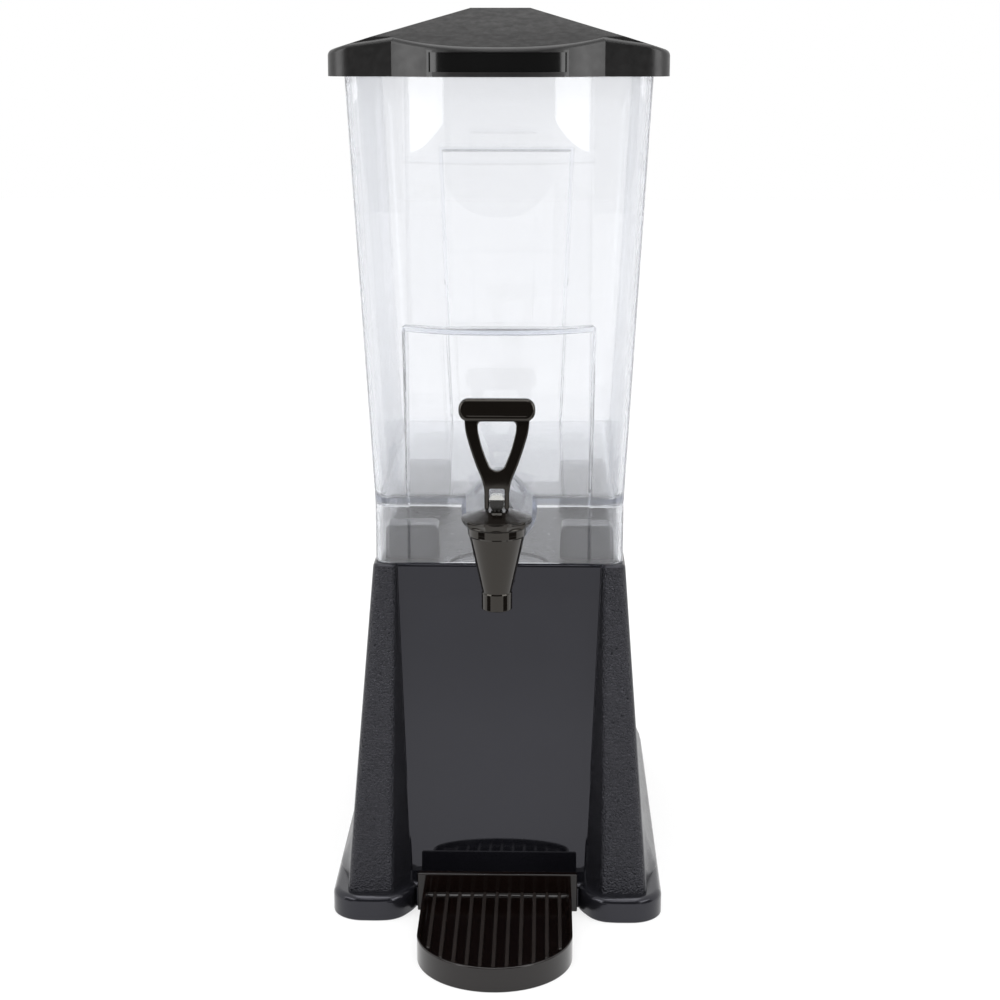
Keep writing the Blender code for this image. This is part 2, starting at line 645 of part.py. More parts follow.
def make_handle():
    """A loop handle on a forked neck that straddles the stem's tang."""
    neck = NECK_HALF_WIDTH
    foot_z = BONNET_TOP_Z + 2.0 * GAP
    bar_low = HANDLE_TOP_Z - 14.5 * MM
    end = 6.5 * MM
    bar_x = 24.5 * MM
    half = [(0.0, foot_z), (neck, foot_z), (neck, 295.5 * MM), (13.0 * MM, 310.0 * MM)]
    half += [(18.0 * MM, 325.0 * MM), (20.6 * MM, 334.0 * MM), (21.0 * MM, bar_low)]
    half += arc((bar_x - end, bar_low + end), end, -50.0, 0.0, 3)
    half += arc((bar_x - end, HANDLE_TOP_Z - end), end, 0.0, 90.0, 5)
    outline = mirrored(half + [(0.0, HANDLE_TOP_Z)])
    front, rear = VALVE_Y - 0.5 * HANDLE_THICKNESS, VALVE_Y + 0.5 * HANDLE_THICKNESS
    origin = (0.0, VALVE_Y, PIVOT_Z)
    handle = along_y("faucet_handle", outline, front, rear, "gloss_black", origin)
    opening = arc((0.0, 312.5 * MM), 5.5 * MM, -90.0, -20.0, 4)
    opening += [(9.5 * MM, 322.0 * MM), (11.8 * MM, 331.0 * MM)]
    opening += arc((9.4 * MM, 336.0 * MM), 3.0 * MM, 0.0, 90.0, 4)
    loop = along_y("finger_opening", mirrored(opening + [(0.0, 339.0 * MM)]), front - MM, rear + MM)
    slot = rounded_box_outline((-4.9 * MM, foot_z - 3.0 * MM), (4.9 * MM, 295.6 * MM), 1.2 * MM, 3)
    fork = along_y("fork_slot", slot, front - MM, rear + MM)
    cut(handle, loop, fork, cross_hole("handle_eyes", PIN_RADIUS + 0.15 * MM, 12.0 * MM))
    return handle


def make_seat_cup():
    return revolved("seat_cup", [
        (0.0, 231.4 * MM), (5.6 * MM, 231.4 * MM), (7.0 * MM, 233.0 * MM), (8.4 * MM, 235.4 * MM),
        (8.4 * MM, 240.0 * MM), (5.4 * MM, 245.0 * MM), (3.3 * MM, 245.0 * MM), (3.3 * MM, 236.0 * MM),
        (0.0, 236.0 * MM),
    ], "silicone", 32)


def make_spring():
    """A helical wire of a few turns round the stem, closed by flat ends."""
    per_turn, sides = 16, 6
    count = SPRING_TURNS * per_turn
    low, high = SPRING_LOW_Z + SPRING_WIRE + 0.1 * MM, SPRING_HIGH_Z - SPRING_WIRE - 0.1 * MM
    rings = []
    for i in range(count + 1):
        turn = 2.0 * math.pi * i / per_turn
        outward = Vector((math.cos(turn), math.sin(turn), 0.0))
        centre = Vector((0.0, VALVE_Y, low + (high - low) * i / count)) + outward * SPRING_RADIUS
        ring = []
        for k in range(sides):
            around = 2.0 * math.pi * k / sides
            spoke = outward * math.cos(around) + Vector((0.0, 0.0, math.sin(around)))
            ring.append(centre + spoke * SPRING_WIRE)
        rings.append(ring)
    return loft("valve_spring", rings, "steel", smooth=70.0)


def make_faucet():
    make_faucet_body()
    make_bonnet()
    make_stem()
    make_handle()
    cross_hole("handle_pin", PIN_RADIUS, NECK_HALF_WIDTH - 0.2 * MM, "steel")
    make_seat_cup()
    make_spring()
    bore = SHANK_RADIUS + 0.3 * MM
    washer, nut = 12.5 * MM, 13.2 * MM
    washer_rear = WALL_FRONT_INSIDE + 2.7 * MM
    nut_rear = WALL_FRONT_INSIDE + 10.0 * MM
    shank_ring("outer_washer", bore, washer, COLLAR_REAR_Y + GAP, TANK_FRONT_Y - GAP, "rubber")
    shank_ring("inner_washer", bore, washer, WALL_FRONT_INSIDE + GAP, washer_rear, "rubber")
    shank_ring("shank_nut", bore, nut, washer_rear + GAP, nut_rear, "gloss_black", 6)


clear_scene()
make_base()
make_tray()
make_tank()
make_lid()
make_faucet()
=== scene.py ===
"""Looks for the gravity-fed drink dispenser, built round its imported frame.

Frame: +Z up, the front faces -Y, origin on the table under the object's middle. Lengths are in metres.
"""

import math

import bmesh
import bpy
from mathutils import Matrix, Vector


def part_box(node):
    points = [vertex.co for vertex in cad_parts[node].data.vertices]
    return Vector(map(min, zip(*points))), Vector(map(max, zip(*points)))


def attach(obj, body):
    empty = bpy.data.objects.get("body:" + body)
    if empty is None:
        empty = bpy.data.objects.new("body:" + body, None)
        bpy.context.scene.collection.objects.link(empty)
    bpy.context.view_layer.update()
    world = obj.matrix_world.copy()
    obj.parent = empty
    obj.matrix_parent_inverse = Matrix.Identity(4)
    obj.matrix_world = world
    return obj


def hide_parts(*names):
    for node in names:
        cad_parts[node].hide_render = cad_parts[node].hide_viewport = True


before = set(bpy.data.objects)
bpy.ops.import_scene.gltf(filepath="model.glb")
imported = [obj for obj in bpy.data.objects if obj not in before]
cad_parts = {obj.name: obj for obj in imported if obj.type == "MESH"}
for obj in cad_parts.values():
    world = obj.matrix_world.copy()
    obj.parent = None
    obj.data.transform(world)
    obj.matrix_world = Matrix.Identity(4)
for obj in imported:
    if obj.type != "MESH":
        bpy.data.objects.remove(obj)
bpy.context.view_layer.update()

MM = 0.001
WALL = 3.0 * MM
GAP = 0.3 * MM

# Linear colours: the black of the mouldings, and the two tints of their reflections.
BLACK = (0.0050, 0.0050, 0.0066)
COOL = (0.9, 0.9, 1.0)
WARM = (1.0, 0.94, 0.86)

# Heights and plan limits read from the frame.
DECK_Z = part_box("tank")[0].z - GAP
TANK_RIM_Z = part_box("tank")[1].z
LID_EDGE_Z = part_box("lid")[0].z
RIDGE_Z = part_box("lid")[1].z
LID_HALF_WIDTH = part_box("lid")[1].x
LID_REAR_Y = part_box("lid")[1].y
TRAY_FRONT_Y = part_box("drip_tray")[0].y
TRAY_REAR_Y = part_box("drip_tray")[1].y
TRAY_BACK_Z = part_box("drip_tray")[1].z
TRAY_BACK_HALF_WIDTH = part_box("drip_tray")[1].x
FLANGE_HALF_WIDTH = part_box("base_housing")[1].x
FLANGE_REAR_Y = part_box("base_housing")[1].y
FOOT_FRONT_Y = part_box("base_housing")[0].y
SPOUT_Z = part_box("faucet_body")[0].z
BODY_TOP_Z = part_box("faucet_body")[1].z
SHANK_REAR_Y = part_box("faucet_body")[1].y
BONNET_LOW_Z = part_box("faucet_bonnet")[0].z
BONNET_TOP_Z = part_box("faucet_bonnet")[1].z
HANDLE_LOW_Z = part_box("faucet_handle")[0].z
HANDLE_TOP_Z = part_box("faucet_handle")[1].z
HANDLE_FRONT_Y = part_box("faucet_handle")[0].y
HANDLE_REAR_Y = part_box("faucet_handle")[1].y
BAR_HALF_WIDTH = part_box("faucet_handle")[1].x
VALVE_Y = 0.5 * (HANDLE_FRONT_Y + HANDLE_REAR_Y)

# Tank
TANK_FLOOR_Z = 270.6 * MM
TANK_HALF_WIDTH = 84.3 * MM
TANK_FRONT_Y = -51.5 * MM
TANK_REAR_Y = 198.5 * MM
TANK_DRAFT = 0.052
TANK_CORNER = 12.0 * MM
FLOOR_SLOPE = 0.036
BULGE_HALF_WIDTH = 61.5 * MM
BULGE_DEPTH = 20.0 * MM
BULGE_LEDGE_Z = 388.5 * MM
BULGE_POWER = 2.5
FRONT_PANEL_Y = -50.3 * MM
REAR_LEDGE_Z = 492.0 * MM
REAR_LEDGE_DEPTH = 12.0 * MM
REAR_PANEL_Y = 197.5 * MM
REAR_PANEL_HALF_WIDTH = 41.5 * MM
REAR_PANEL_TAPER = 0.039
PANEL_EDGE = 1.5 * MM
PANEL_RECESS = 1.2 * MM
STEP = 0.5 * MM
LEDGE_ROUNDING = 2.6 * MM
TANK_RIM_ROUNDING = 1.2 * MM
TANK_FLOOR_ROUNDING = 5.0 * MM
SKIRT_ROUNDING = 2.5 * MM
SKIRT_FOOT_INSET = 0.4 * MM
SUMP_RADIUS = 25.5 * MM
SUMP_Z = 267.0 * MM
SUMP_DRUM_Y = -34.0 * MM
SUMP_REAR_Y = 45.0 * MM
SUMP_TIP_RADIUS = 5.0 * MM
SUMP_TOP_OVERLAP = 1.5 * MM
SUMP_OPENING_HEIGHT = 8.0 * MM

# Lid
LID_FRONT_Y = -75.5 * MM
LID_CORNER = 15.0 * MM
LID_ROUNDING = 4.2 * MM
LID_BULGE_HALF_WIDTH = 67.3 * MM
LID_REST_Z = TANK_RIM_Z + GAP
RIDGE_HALF_WIDTH = 19.6 * MM
RIDGE_FRONT_Y = -12.5 * MM
RIDGE_REAR_Y = 159.5 * MM
ROOF_SLOPE = math.tan(math.radians(17.0))
ROOF_FOOT_Z = 540.0 * MM
ABOVE_ROOF = 5.0 * MM
LID_RING_OUTSIDE = 2.0 * MM
LID_LIP_OUTSIDE = 15.2 * MM
LID_RING_INSIDE = 18.0 * MM
LABEL_HALF_WIDTH = 43.0 * MM
POCKET_LOW_Z = 556.5 * MM
POCKET_HIGH_Z = 568.5 * MM

# Base
BASE_TOP_HALF_WIDTH = 85.6 * MM
BASE_FRONT_Y = -53.0 * MM
BASE_REAR_Y = 200.0 * MM
COLUMN_INNER_X = 70.5 * MM
COLUMN_SLOPE = 0.2712
COLUMN_INNER_FILLET = 3.6 * MM
COLUMN_OUTER_FILLET = 5.5 * MM
PANEL_TOP_Y = -49.6 * MM
PANEL_SLOPE = 0.12
PANEL_TOP_HALF_WIDTH = 69.8 * MM
PANEL_TAPER = 0.0443
PANEL_FILLET = 2.0 * MM
SIDE_SLOPE = 0.0721
REAR_SLOPE = 0.055
FLARE_TOP_Z = 67.0 * MM
FLARE_WIDTH = 9.9 * MM
FLARE_SIDE_SHARE = 0.9
FLARE_REAR_SHARE = 0.6
BASE_FOOT_Z = 6.0 * MM
BASE_LEVELS = [height * MM for height in (15, 17, 19, 22, 25, 29, 33, 38, 43, 49, 56, 67, 100, 140, 185)]
BASE_EDGE = 2.4 * MM
HOLLOW_FOOT_Z = 10.0 * MM
FLANGE_HEIGHT = 17.0 * MM
FLANGE_EDGE = 4.6 * MM
TOE_RADIUS = 21.0 * MM
HEEL_RADIUS = 16.0 * MM
RELIEF_RADIUS = 34.0 * MM
RELIEF_DEPTH = 1.2 * MM
LUG_HEIGHT = 23.0 * MM
LUG_INNER_X = 41.0 * MM
LUG_OUTER_X = 79.3 * MM
LUG_DEPTH = 29.0 * MM
LUG_FRONTS_Y = (-37.5 * MM, 150.0 * MM)
LUG_CORNER = 6.0 * MM
LUG_EDGE = 4.0 * MM
LUG_TAPER = 0.8 * MM

# Drip tray
TRAY_RADIUS = 50.1 * MM
TRAY_RIM_Z = 16.6 * MM
TRAY_FLOOR_Z = 11.2 * MM
TRAY_BACK_THICKNESS = 5.5 * MM
TRAY_WALL = 2.5 * MM
TRAY_RIM_ROUNDING = 0.9 * MM
TRAY_FLOOR_ROUNDING = 2.0 * MM
TRAY_BACK_CORNER = 0.9 * MM
RIB_COUNT = 11
RIB_PITCH = 8.4 * MM
RIB_WIDTH = 2.5 * MM
RIB_HEIGHT = 3.4 * MM
RIB_EDGE = 0.9 * MM
RIB_TOP_START = 2.6 * MM
RIB_ZONE_MARGIN = 4.0 * MM

# Faucet
BONNET_SCALLOPS = 10
SCALLOP_DEPTH = 0.085
SHANK_Z = 259.0 * MM
SHANK_RADIUS = 8.0 * MM
SHANK_STEPS = 64
SHANK_HOLE_GAP = 0.4 * MM
SPOUT_RADIUS = 10.0 * MM
CHAMBER_OUTER_RADIUS = 18.7 * MM
SHANK_NECK_RADIUS = 9.5 * MM
COLLAR_RADIUS = 13.0 * MM
COLLAR_REAR_Y = -54.8 * MM
BORE_RADIUS = 5.0 * MM
STEM_HOLE_RADIUS = 3.5 * MM
BONNET_ROOF_Z = 278.0 * MM
NECK_HALF_WIDTH = 8.0 * MM
HANDLE_LEAN = 0.085
LEG_INSET = 0.4 * MM
LEG_ROUNDING = 2.3 * MM
LEG_OVERLAP = 4.0 * MM
FORK_SLOT_HALF_WIDTH = 4.9 * MM
FORK_SLOT_TOP_Z = 295.6 * MM
BAR_HEIGHT = 14.5 * MM
BAR_CORNER = 6.4 * MM
BAR_ROUNDING = 2.2 * MM
BAR_FACE_MARGIN = 3.4 * MM
BAR_FACE_DEPTH = 0.35 * MM
PIVOT_Z = 287.5 * MM
# Height of the stem's lit steel tip; the stem below it is painted shade.
STEM_LIT_TIP_HEIGHT = 3.4 * MM
PIN_RADIUS = 1.5 * MM
PIN_HOLE_GAP = 0.15 * MM

# Studio: black cards (plan start, plan end, low z, high z) and lamps (place, size, watts)
FLOOR_REACH = 6.0
CARDS = {
    "front_card": ((-1.0, -1.25), (1.0, -1.25), 0.24, 2.0),
    "left_flag": ((-0.36, -0.44), (-0.48, -0.22), 0.0, 0.24),
    "right_flag": ((0.37, -0.43), (0.48, -0.16), 0.0, 0.24),
}
LAMPS = {
    "left_box": ((-1.3, -0.84, 0.78), (1.0, 1.0), 9.0),
    "right_box": ((1.3, -0.84, 0.78), (1.0, 1.0), 9.0),
    "top_box": ((0.0, 0.0, 2.2), (1.6, 1.6), 20.0),
    "front_strip": ((0.0, -1.15, 1.5), (1.0, 0.35), 3.0),
}
LAMP_AIM = (0.0, 0.0, 0.3)
CAMERA_PLACE = (0.0304, -1.362, 0.577)
CAMERA_TURN = (77.0, 0.0, 1.3)
LIGHT_BOUNCES = 24


# ---- mesh helpers

def placed(name, data):
    """A new object in the scene, made of a mesh, a light or a camera."""
    thing = bpy.data.objects.new(name, data)
    bpy.context.scene.collection.objects.link(thing)
    return thing


def piece_from(name, vertices, faces):
    mesh = bpy.data.meshes.new(name)
    mesh.from_pydata([Vector(point) for point in vertices], [], faces)
    work = bmesh.new()
    work.from_mesh(mesh)
    bmesh.ops.recalc_face_normals(work, faces=work.faces)
    work.to_mesh(mesh)
    work.free()
    return placed(name, mesh)


def loft(name, rings):
    """A closed solid through rings of equal length, with flat ends."""
    count = len(rings[0])
    vertices = [point for ring in rings for point in ring]
    faces = [tuple(range(count)), tuple(range(len(vertices) - count, len(vertices)))]
    for level in range(len(rings) - 1):
        for i in range(count):
            j = (i + 1) % count
            low, high = level * count, (level + 1) * count
            faces.append((low + i, low + j, high + j, high + i))
    return piece_from(name, vertices, faces)


def apply_modifiers(piece):
    """Turns the piece's modifiers into mesh."""
    evaluated = piece.evaluated_get(bpy.context.evaluated_depsgraph_get())
    mesh = bpy.data.meshes.new_from_object(evaluated)
    old = piece.data
    piece.modifiers.clear()
    piece.data = mesh
    bpy.data.meshes.remove(old)


def boolean(target, tool, operation):
    modifier = target.modifiers.new("boolean", "BOOLEAN")
    modifier.operation = operation
    modifier.solver = "EXACT"
    modifier.object = tool
    apply_modifiers(target)
    bpy.data.objects.remove(tool)


def cut(target, *tools):
    for tool in tools:
        boolean(target, tool, "DIFFERENCE")


def join(target, *tools):
    for tool in tools:
        boolean(target, tool, "UNION")


def merged(name, pieces):
    """One object from several closed meshes that don't touch."""
    work = bmesh.new()
    for piece in pieces:
        work.from_mesh(piece.data)
        bpy.data.objects.remove(piece)
    mesh = bpy.data.meshes.new(name)
    work.to_mesh(mesh)
    work.free()
    return placed(name, mesh)


def bevel(piece, width, angle, segments):
    """Rounds the edges that turn by more than the angle, in degrees."""
    modifier = piece.modifiers.new("bevel", "BEVEL")
    modifier.width = width
    modifier.segments = segments
    modifier.limit_method = "ANGLE"
    modifier.angle_limit = math.radians(angle)
    apply_modifiers(piece)


def smooth(piece, angle):
    """Smooth shading with sharp creases, and normals that follow the large faces."""
    work = bmesh.new()
    work.from_mesh(piece.data)
    bmesh.ops.remove_doubles(work, verts=work.verts, dist=0.004 * MM)
    bmesh.ops.dissolve_degenerate(work, edges=work.edges, dist=0.002 * MM)
    work.to_mesh(piece.data)
    work.free()
    piece.data.shade_smooth()
    piece.data.set_sharp_from_angle(angle=math.radians(angle))
    modifier = piece.modifiers.new("weighted_normal", "WEIGHTED_NORMAL")
    modifier.keep_sharp = True
    modifier.weight = 50
    apply_modifiers(piece)


def dress(piece, body, node, slot, *materials):
    """Gives a piece its materials and its body, and hides the CAD node it stands for. The slot argument is
    not used.
    """
    piece.data.materials.clear()
    for material in materials:
        piece.data.materials.append(material)
    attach(piece, body)
    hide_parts(node)


# ---- outline helpers

def at_height(outline, height):
    """The outline's points at a height, which is a number or a function of (x, y)."""
    level = height if callable(height) else lambda x, y: height
    return [(x, y, level(x, y)) for x, y in outline]


def inset(outline, distance):
    """A counter-clockwise outline moved inwards, with mitred corners."""
    moved = []
    for i, (x, y) in enumerate(outline):
        before = Vector(outline[i - 1])
        after = Vector(outline[(i + 1) % len(outline)])
        here = Vector((x, y))
        first = (here - before).normalized()
        second = (after - here).normalized()
        inward_first = Vector((-first.y, first.x))
        inward_second = Vector((-second.y, second.x))
        bisector = inward_first + inward_second
        moved.append(tuple(here + bisector * (distance * 2.0 / bisector.length_squared)))
    return moved


def arc(centre, radius, start, end, steps):
    angles = [math.radians(start + (end - start) * i / steps) for i in range(steps + 1)]
    return [(centre[0] + radius * math.cos(a), centre[1] + radius * math.sin(a)) for a in angles]


def corner_round(before, here, after, radius, steps):
    """Points of a fillet at a corner of a polyline."""
    here = Vector(here)
    to_before = (Vector(before) - here).normalized()
    to_after = (Vector(after) - here).normalized()
    half = 0.5 * to_before.angle(to_after)
    centre = here + (to_before + to_after).normalized() * (radius / math.sin(half))
    start = here + to_before * (radius / math.tan(half)) - centre
    end = here + to_after * (radius / math.tan(half)) - centre
    first = math.atan2(start.y, start.x)
    turn = (math.atan2(end.y, end.x) - first + math.pi) % (2.0 * math.pi) - math.pi
    angles = [first + turn * i / steps for i in range(steps + 1)]
    return [(centre.x + radius * math.cos(a), centre.y + radius * math.sin(a)) for a in angles]


def filleted(points, radii, closed=True, steps=5):
    """A polyline with its corners rounded; a radius of zero keeps the point."""
    rounded = []
    count = len(points)
    for i, point in enumerate(points):
        end = not closed and i in (0, count - 1)
        if end or radii[i] <= 0.0:
            rounded.append(tuple(point))
        else:
            rounded += corner_round(points[i - 1], point, points[(i + 1) % count], radii[i], steps)
    return rounded


def smooth_curve(points, steps):
    """A Catmull-Rom curve through the points."""
    curve = []
    last = len(points) - 1
    for i in range(last):
        p0, p1 = Vector(points[max(i - 1, 0)]), Vector(points[i])
        p2, p3 = Vector(points[i + 1]), Vector(points[min(i + 2, last)])
        for k in range(steps):
            t = k / steps
            point = 0.5 * (2.0 * p1 + (p2 - p0) * t + (2.0 * p0 - 5.0 * p1 + 4.0 * p2 - p3) * t ** 2
                           + (3.0 * p1 - p0 - 3.0 * p2 + p3) * t ** 3)
            curve.append(tuple(point))
    return curve + [tuple(points[-1])]


def mirrored(half):
    """A closed counter-clockwise outline from its right half, listed from the front to the rear."""
    return half + [(-x, y) for x, y in reversed(half) if x > 1e-6]


def rounded_box(low, high, radius, steps):
    corners = [(high[0], high[1]), (low[0], high[1]), (low[0], low[1]), (high[0], low[1])]
    return filleted(corners, [radius] * len(corners), steps=steps)


def quarter(radius, steps):
    """(rise, inset) pairs of a rounded upper edge, from the side to the top."""
    angles = [0.5 * math.pi * i / steps for i in range(steps + 1)]
    return [(radius * math.sin(a), radius * (1.0 - math.cos(a))) for a in angles]


def revolved(name, profile, steps, shape=None, closed=False):
    """A turned solid on the valve's axis, from (radius, z) pairs. shape(angle, z) scales the radius."""
    shape = shape or (lambda angle, z: 1.0)
    vertices, columns = [], []
    for radius, z in profile:
        if radius < 1e-7:
            columns.append([len(vertices)] * steps)
            vertices.append((0.0, VALVE_Y, z))
            continue
        columns.append([len(vertices) + i for i in range(steps)])
        for i in range(steps):
            angle = 2.0 * math.pi * i / steps
            reach = radius * shape(angle, z)
            vertices.append((reach * math.cos(angle), VALVE_Y + reach * math.sin(angle), z))
    pairs = list(zip(columns, columns[1:]))
    if closed:
        pairs.append((columns[-1], columns[0]))
    faces = []
    for first, second in pairs:
        for i in range(steps):
            j = (i + 1) % steps
            loop = list(dict.fromkeys((first[i], first[j], second[j], second[i])))
            if len(loop) > 2:
                faces.append(tuple(loop))
    return piece_from(name, vertices, faces)


def along_y(name, outline_xz, front, rear):
    return loft(name, [[(x, y, z) for x, z in outline_xz] for y in (front, rear)])


def turned_along_y(name, profile, centre_z):
    """A turned solid along Y at a height, from (radius, y) pairs, with flat ends."""
    angles = [2.0 * math.pi * i / SHANK_STEPS for i in range(SHANK_STEPS)]
    rings = [[(r * math.cos(a), y, centre_z + r * math.sin(a)) for a in angles] for r, y in profile]
    return loft(name, rings)


# ---- material helpers

class Nodes:
    """A new material with its Principled shader, and short ways to add nodes to it."""

    def __init__(self, name):
        self.material = bpy.data.materials.new(name)
        self.material.use_nodes = True
        self.tree = self.material.node_tree
        self.shader = self.tree.nodes["Principled BSDF"]
        self.coordinates = self.add("ShaderNodeTexCoord").outputs["Object"]

    def add(self, kind, **values):
        node = self.tree.nodes.new(kind)
        for key, value in values.items():
            if key in node.inputs:
                node.inputs[key].default_value = value
            else:
                setattr(node, key, value)
        return node

    def link(self, output, target):
        self.tree.links.new(output, target)

    def feed(self, socket, output):
        self.link(output, self.shader.inputs[socket])

    def set(self, **values):
        for key, value in values.items():
            self.shader.inputs[key.replace("_", " ")].default_value = value

    def noise(self, scale, detail=2.0, roughness=0.5, stretch=(1.0, 1.0, 1.0)):
        """Noise in metres of the frame: a scale of 1000 has features about a millimetre wide."""
        mapping = self.add("ShaderNodeMapping")
        mapping.inputs["Scale"].default_value = stretch
        self.link(self.coordinates, mapping.inputs["Vector"])
        noise = self.add("ShaderNodeTexNoise", Scale=scale, Detail=detail, Roughness=roughness)
        self.link(mapping.outputs["Vector"], noise.inputs["Vector"])
        return noise.outputs["Fac"]

    def cells(self, scale):
        voronoi = self.add("ShaderNodeTexVoronoi", Scale=scale)
        voronoi.feature = "SMOOTH_F1"
        self.link(self.coordinates, voronoi.inputs["Vector"])
        return voronoi.outputs["Distance"]

    def spread(self, source, low, high, first=0.3, last=0.7):
        """The source mapped from first..last to low..high."""
        node = self.add("ShaderNodeMapRange")
        for key, value in (("From Min", first), ("From Max", last), ("To Min", low), ("To Max", high)):
            node.inputs[key].default_value = value
        self.link(source, node.inputs["Value"])
        return node.outputs["Result"]

    def sum(self, first, second):
        node = self.add("ShaderNodeMath", operation="ADD")
        self.link(first, node.inputs[0])
        self.link(second, node.inputs[1])
        return node.outputs["Value"]

    def colour_between(self, source, first, second, low=0.3, high=0.7):
        ramp = self.add("ShaderNodeValToRGB")
        ramp.color_ramp.elements[0].position = low
        ramp.color_ramp.elements[1].position = high
        ramp.color_ramp.elements[0].color = (*first, 1.0)
        ramp.color_ramp.elements[1].color = (*second, 1.0)
        self.link(source, ramp.inputs["Fac"])
        return ramp.outputs["Color"]

    def bump(self, height, distance, strength=1.0, below=None):
        node = self.add("ShaderNodeBump", Strength=strength, Distance=distance)
        self.link(height, node.inputs["Height"])
        if below is not None:
            self.link(below, node.inputs["Normal"])
        return node.outputs["Normal"]


def shades(colour, amount):
    return tuple(c * (1.0 - amount) for c in colour), tuple(c * (1.0 + amount) for c in colour)


def moulded_plastic(name, colour, roughness, variation=0.08, grain=None, wave=0.02 * MM, gloss=0.5,
                    tint=(1.0, 1.0, 1.0)):
    """Moulded plastic: cloudy colour, uneven roughness and a slight wave. A grain is (scale, height)."""
    m = Nodes(name)
    dark, light = shades(colour, variation)
    m.feed("Base Color", m.colour_between(m.noise(45.0, 4.0), dark, light))
    m.feed("Roughness", m.spread(m.noise(160.0, 5.0, 0.6), roughness * 0.85, roughness * 1.2))
    normal = m.bump(m.noise(55.0, 1.0), wave)
    if grain:
        scale, height = grain
        normal = m.bump(m.noise(scale, 3.0, 0.6), height, below=normal)
    m.feed("Normal", normal)
    m.set(Specular_IOR_Level=gloss, Specular_Tint=(*tint, 1.0))
    return m.material


def pebbled_plastic(name, colour, roughness):
    """Moulded plastic with a coarse pebble texture of about a millimetre, with painted highlights that
    lighten its high spots.
    """
    m = Nodes(name)
    pebbles = m.cells(980.0)
    fine = m.noise(2400.0, 2.0)
    dark, light = shades(colour, 0.22)
    # painted highlight: the pebbles' high spots are coloured lighter, standing in for their sparkle
    painted_pebble_highlight = m.colour_between(m.sum(pebbles, m.spread(fine, -0.1, 0.1)), light, dark, 0.25, 0.65)
    m.feed("Base Color", painted_pebble_highlight)
    m.feed("Roughness", m.spread(m.noise(120.0, 4.0), roughness * 0.85, roughness * 1.15))
    normal = m.bump(m.spread(pebbles, 1.0, 0.0, 0.1, 0.7), 0.85 * MM)
    m.feed("Normal", m.bump(fine, 0.09 * MM, below=normal))
    m.set(Specular_IOR_Level=0.5, Specular_Tint=(*COOL, 1.0))
    return m.material


def clear_plastic(name):
    """Clear moulded plastic with faint flow marks and hairline handling marks."""
    m = Nodes(name)
    tint = m.colour_between(m.noise(14.0, 2.0), (0.915, 0.92, 0.931), (0.927, 0.932, 0.942))
    m.feed("Base Color", tint)
    m.feed("Roughness", m.spread(m.noise(90.0, 5.0, 0.65), 0.0, 0.02, 0.35, 0.75))
    flow = m.noise(16.0, 1.0, 0.4, stretch=(1.0, 1.0, 0.35))
    hairlines = m.noise(700.0, 2.0, 0.5, stretch=(1.0, 1.0, 0.06))
    normal = m.bump(flow, 0.25 * MM, 0.6)
    m.feed("Normal", m.bump(hairlines, 0.002 * MM, below=normal))
    m.set(IOR=1.48, Transmission_Weight=0.95, Alpha=0.86)
    absorption = m.add("ShaderNodeVolumeAbsorption", Color=(0.50, 0.56, 0.70, 1.0), Density=20.0)
    m.link(absorption.outputs["Volume"], m.tree.nodes["Material Output"].inputs["Volume"])
    return m.material


def drawn_steel(name, colour=(0.58, 0.58, 0.57)):
    m = Nodes(name)
    dark, light = shades(colour, 0.12)
    streaks = m.noise(900.0, 3.0, 0.6, stretch=(1.0, 1.0, 0.05))
    m.feed("Base Color", m.colour_between(streaks, dark, light))
    m.feed("Roughness", m.spread(streaks, 0.18, 0.38))
    m.feed("Normal", m.bump(streaks, 0.01 * MM))
    m.set(Metallic=1.0)
    return m.material


def shade_darkened_stem(name):
    """Steel at the tip of the stem's tang; below it the steel is painted near-black and non-metallic, as
    painted shade inside the handle's slot.
    """
    m = Nodes(name)
    generated = m.add("ShaderNodeTexCoord").outputs["Generated"]
    split = m.add("ShaderNodeSeparateXYZ")
    m.link(generated, split.inputs["Vector"])
    low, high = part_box("valve_stem")
    edge = 1.0 - STEM_LIT_TIP_HEIGHT / (high.z - low.z)
    # painted shade: below its lit steel tip the stem is coloured near-black, standing in for the shade in
    # the handle's slot
    steel = m.spread(split.outputs["Z"], 0.0, 1.0, edge, edge + 0.01)
    uneven = m.noise(900.0, 3.0, 0.6)
    m.feed("Metallic", steel)
    m.feed("Base Color", m.colour_between(steel, (0.006, 0.005, 0.004), (0.6, 0.6, 0.58)))
    m.feed("Roughness", m.spread(uneven, 0.2, 0.36))
    m.feed("Normal", m.bump(uneven, 0.01 * MM))
    return m.material


def soft_rubber(name, colour, roughness, translucency=0.0):
    m = Nodes(name)
    dark, light = shades(colour, 0.1)
    m.feed("Base Color", m.colour_between(m.noise(300.0, 4.0), dark, light))
    m.feed("Roughness", m.spread(m.noise(700.0, 3.0), roughness * 0.85, roughness * 1.1))
    m.feed("Normal", m.bump(m.noise(2200.0, 3.0), 0.02 * MM))
    m.set(Subsurface_Weight=translucency, Subsurface_Scale=2.0 * MM)
    return m.material


# ---- base housing

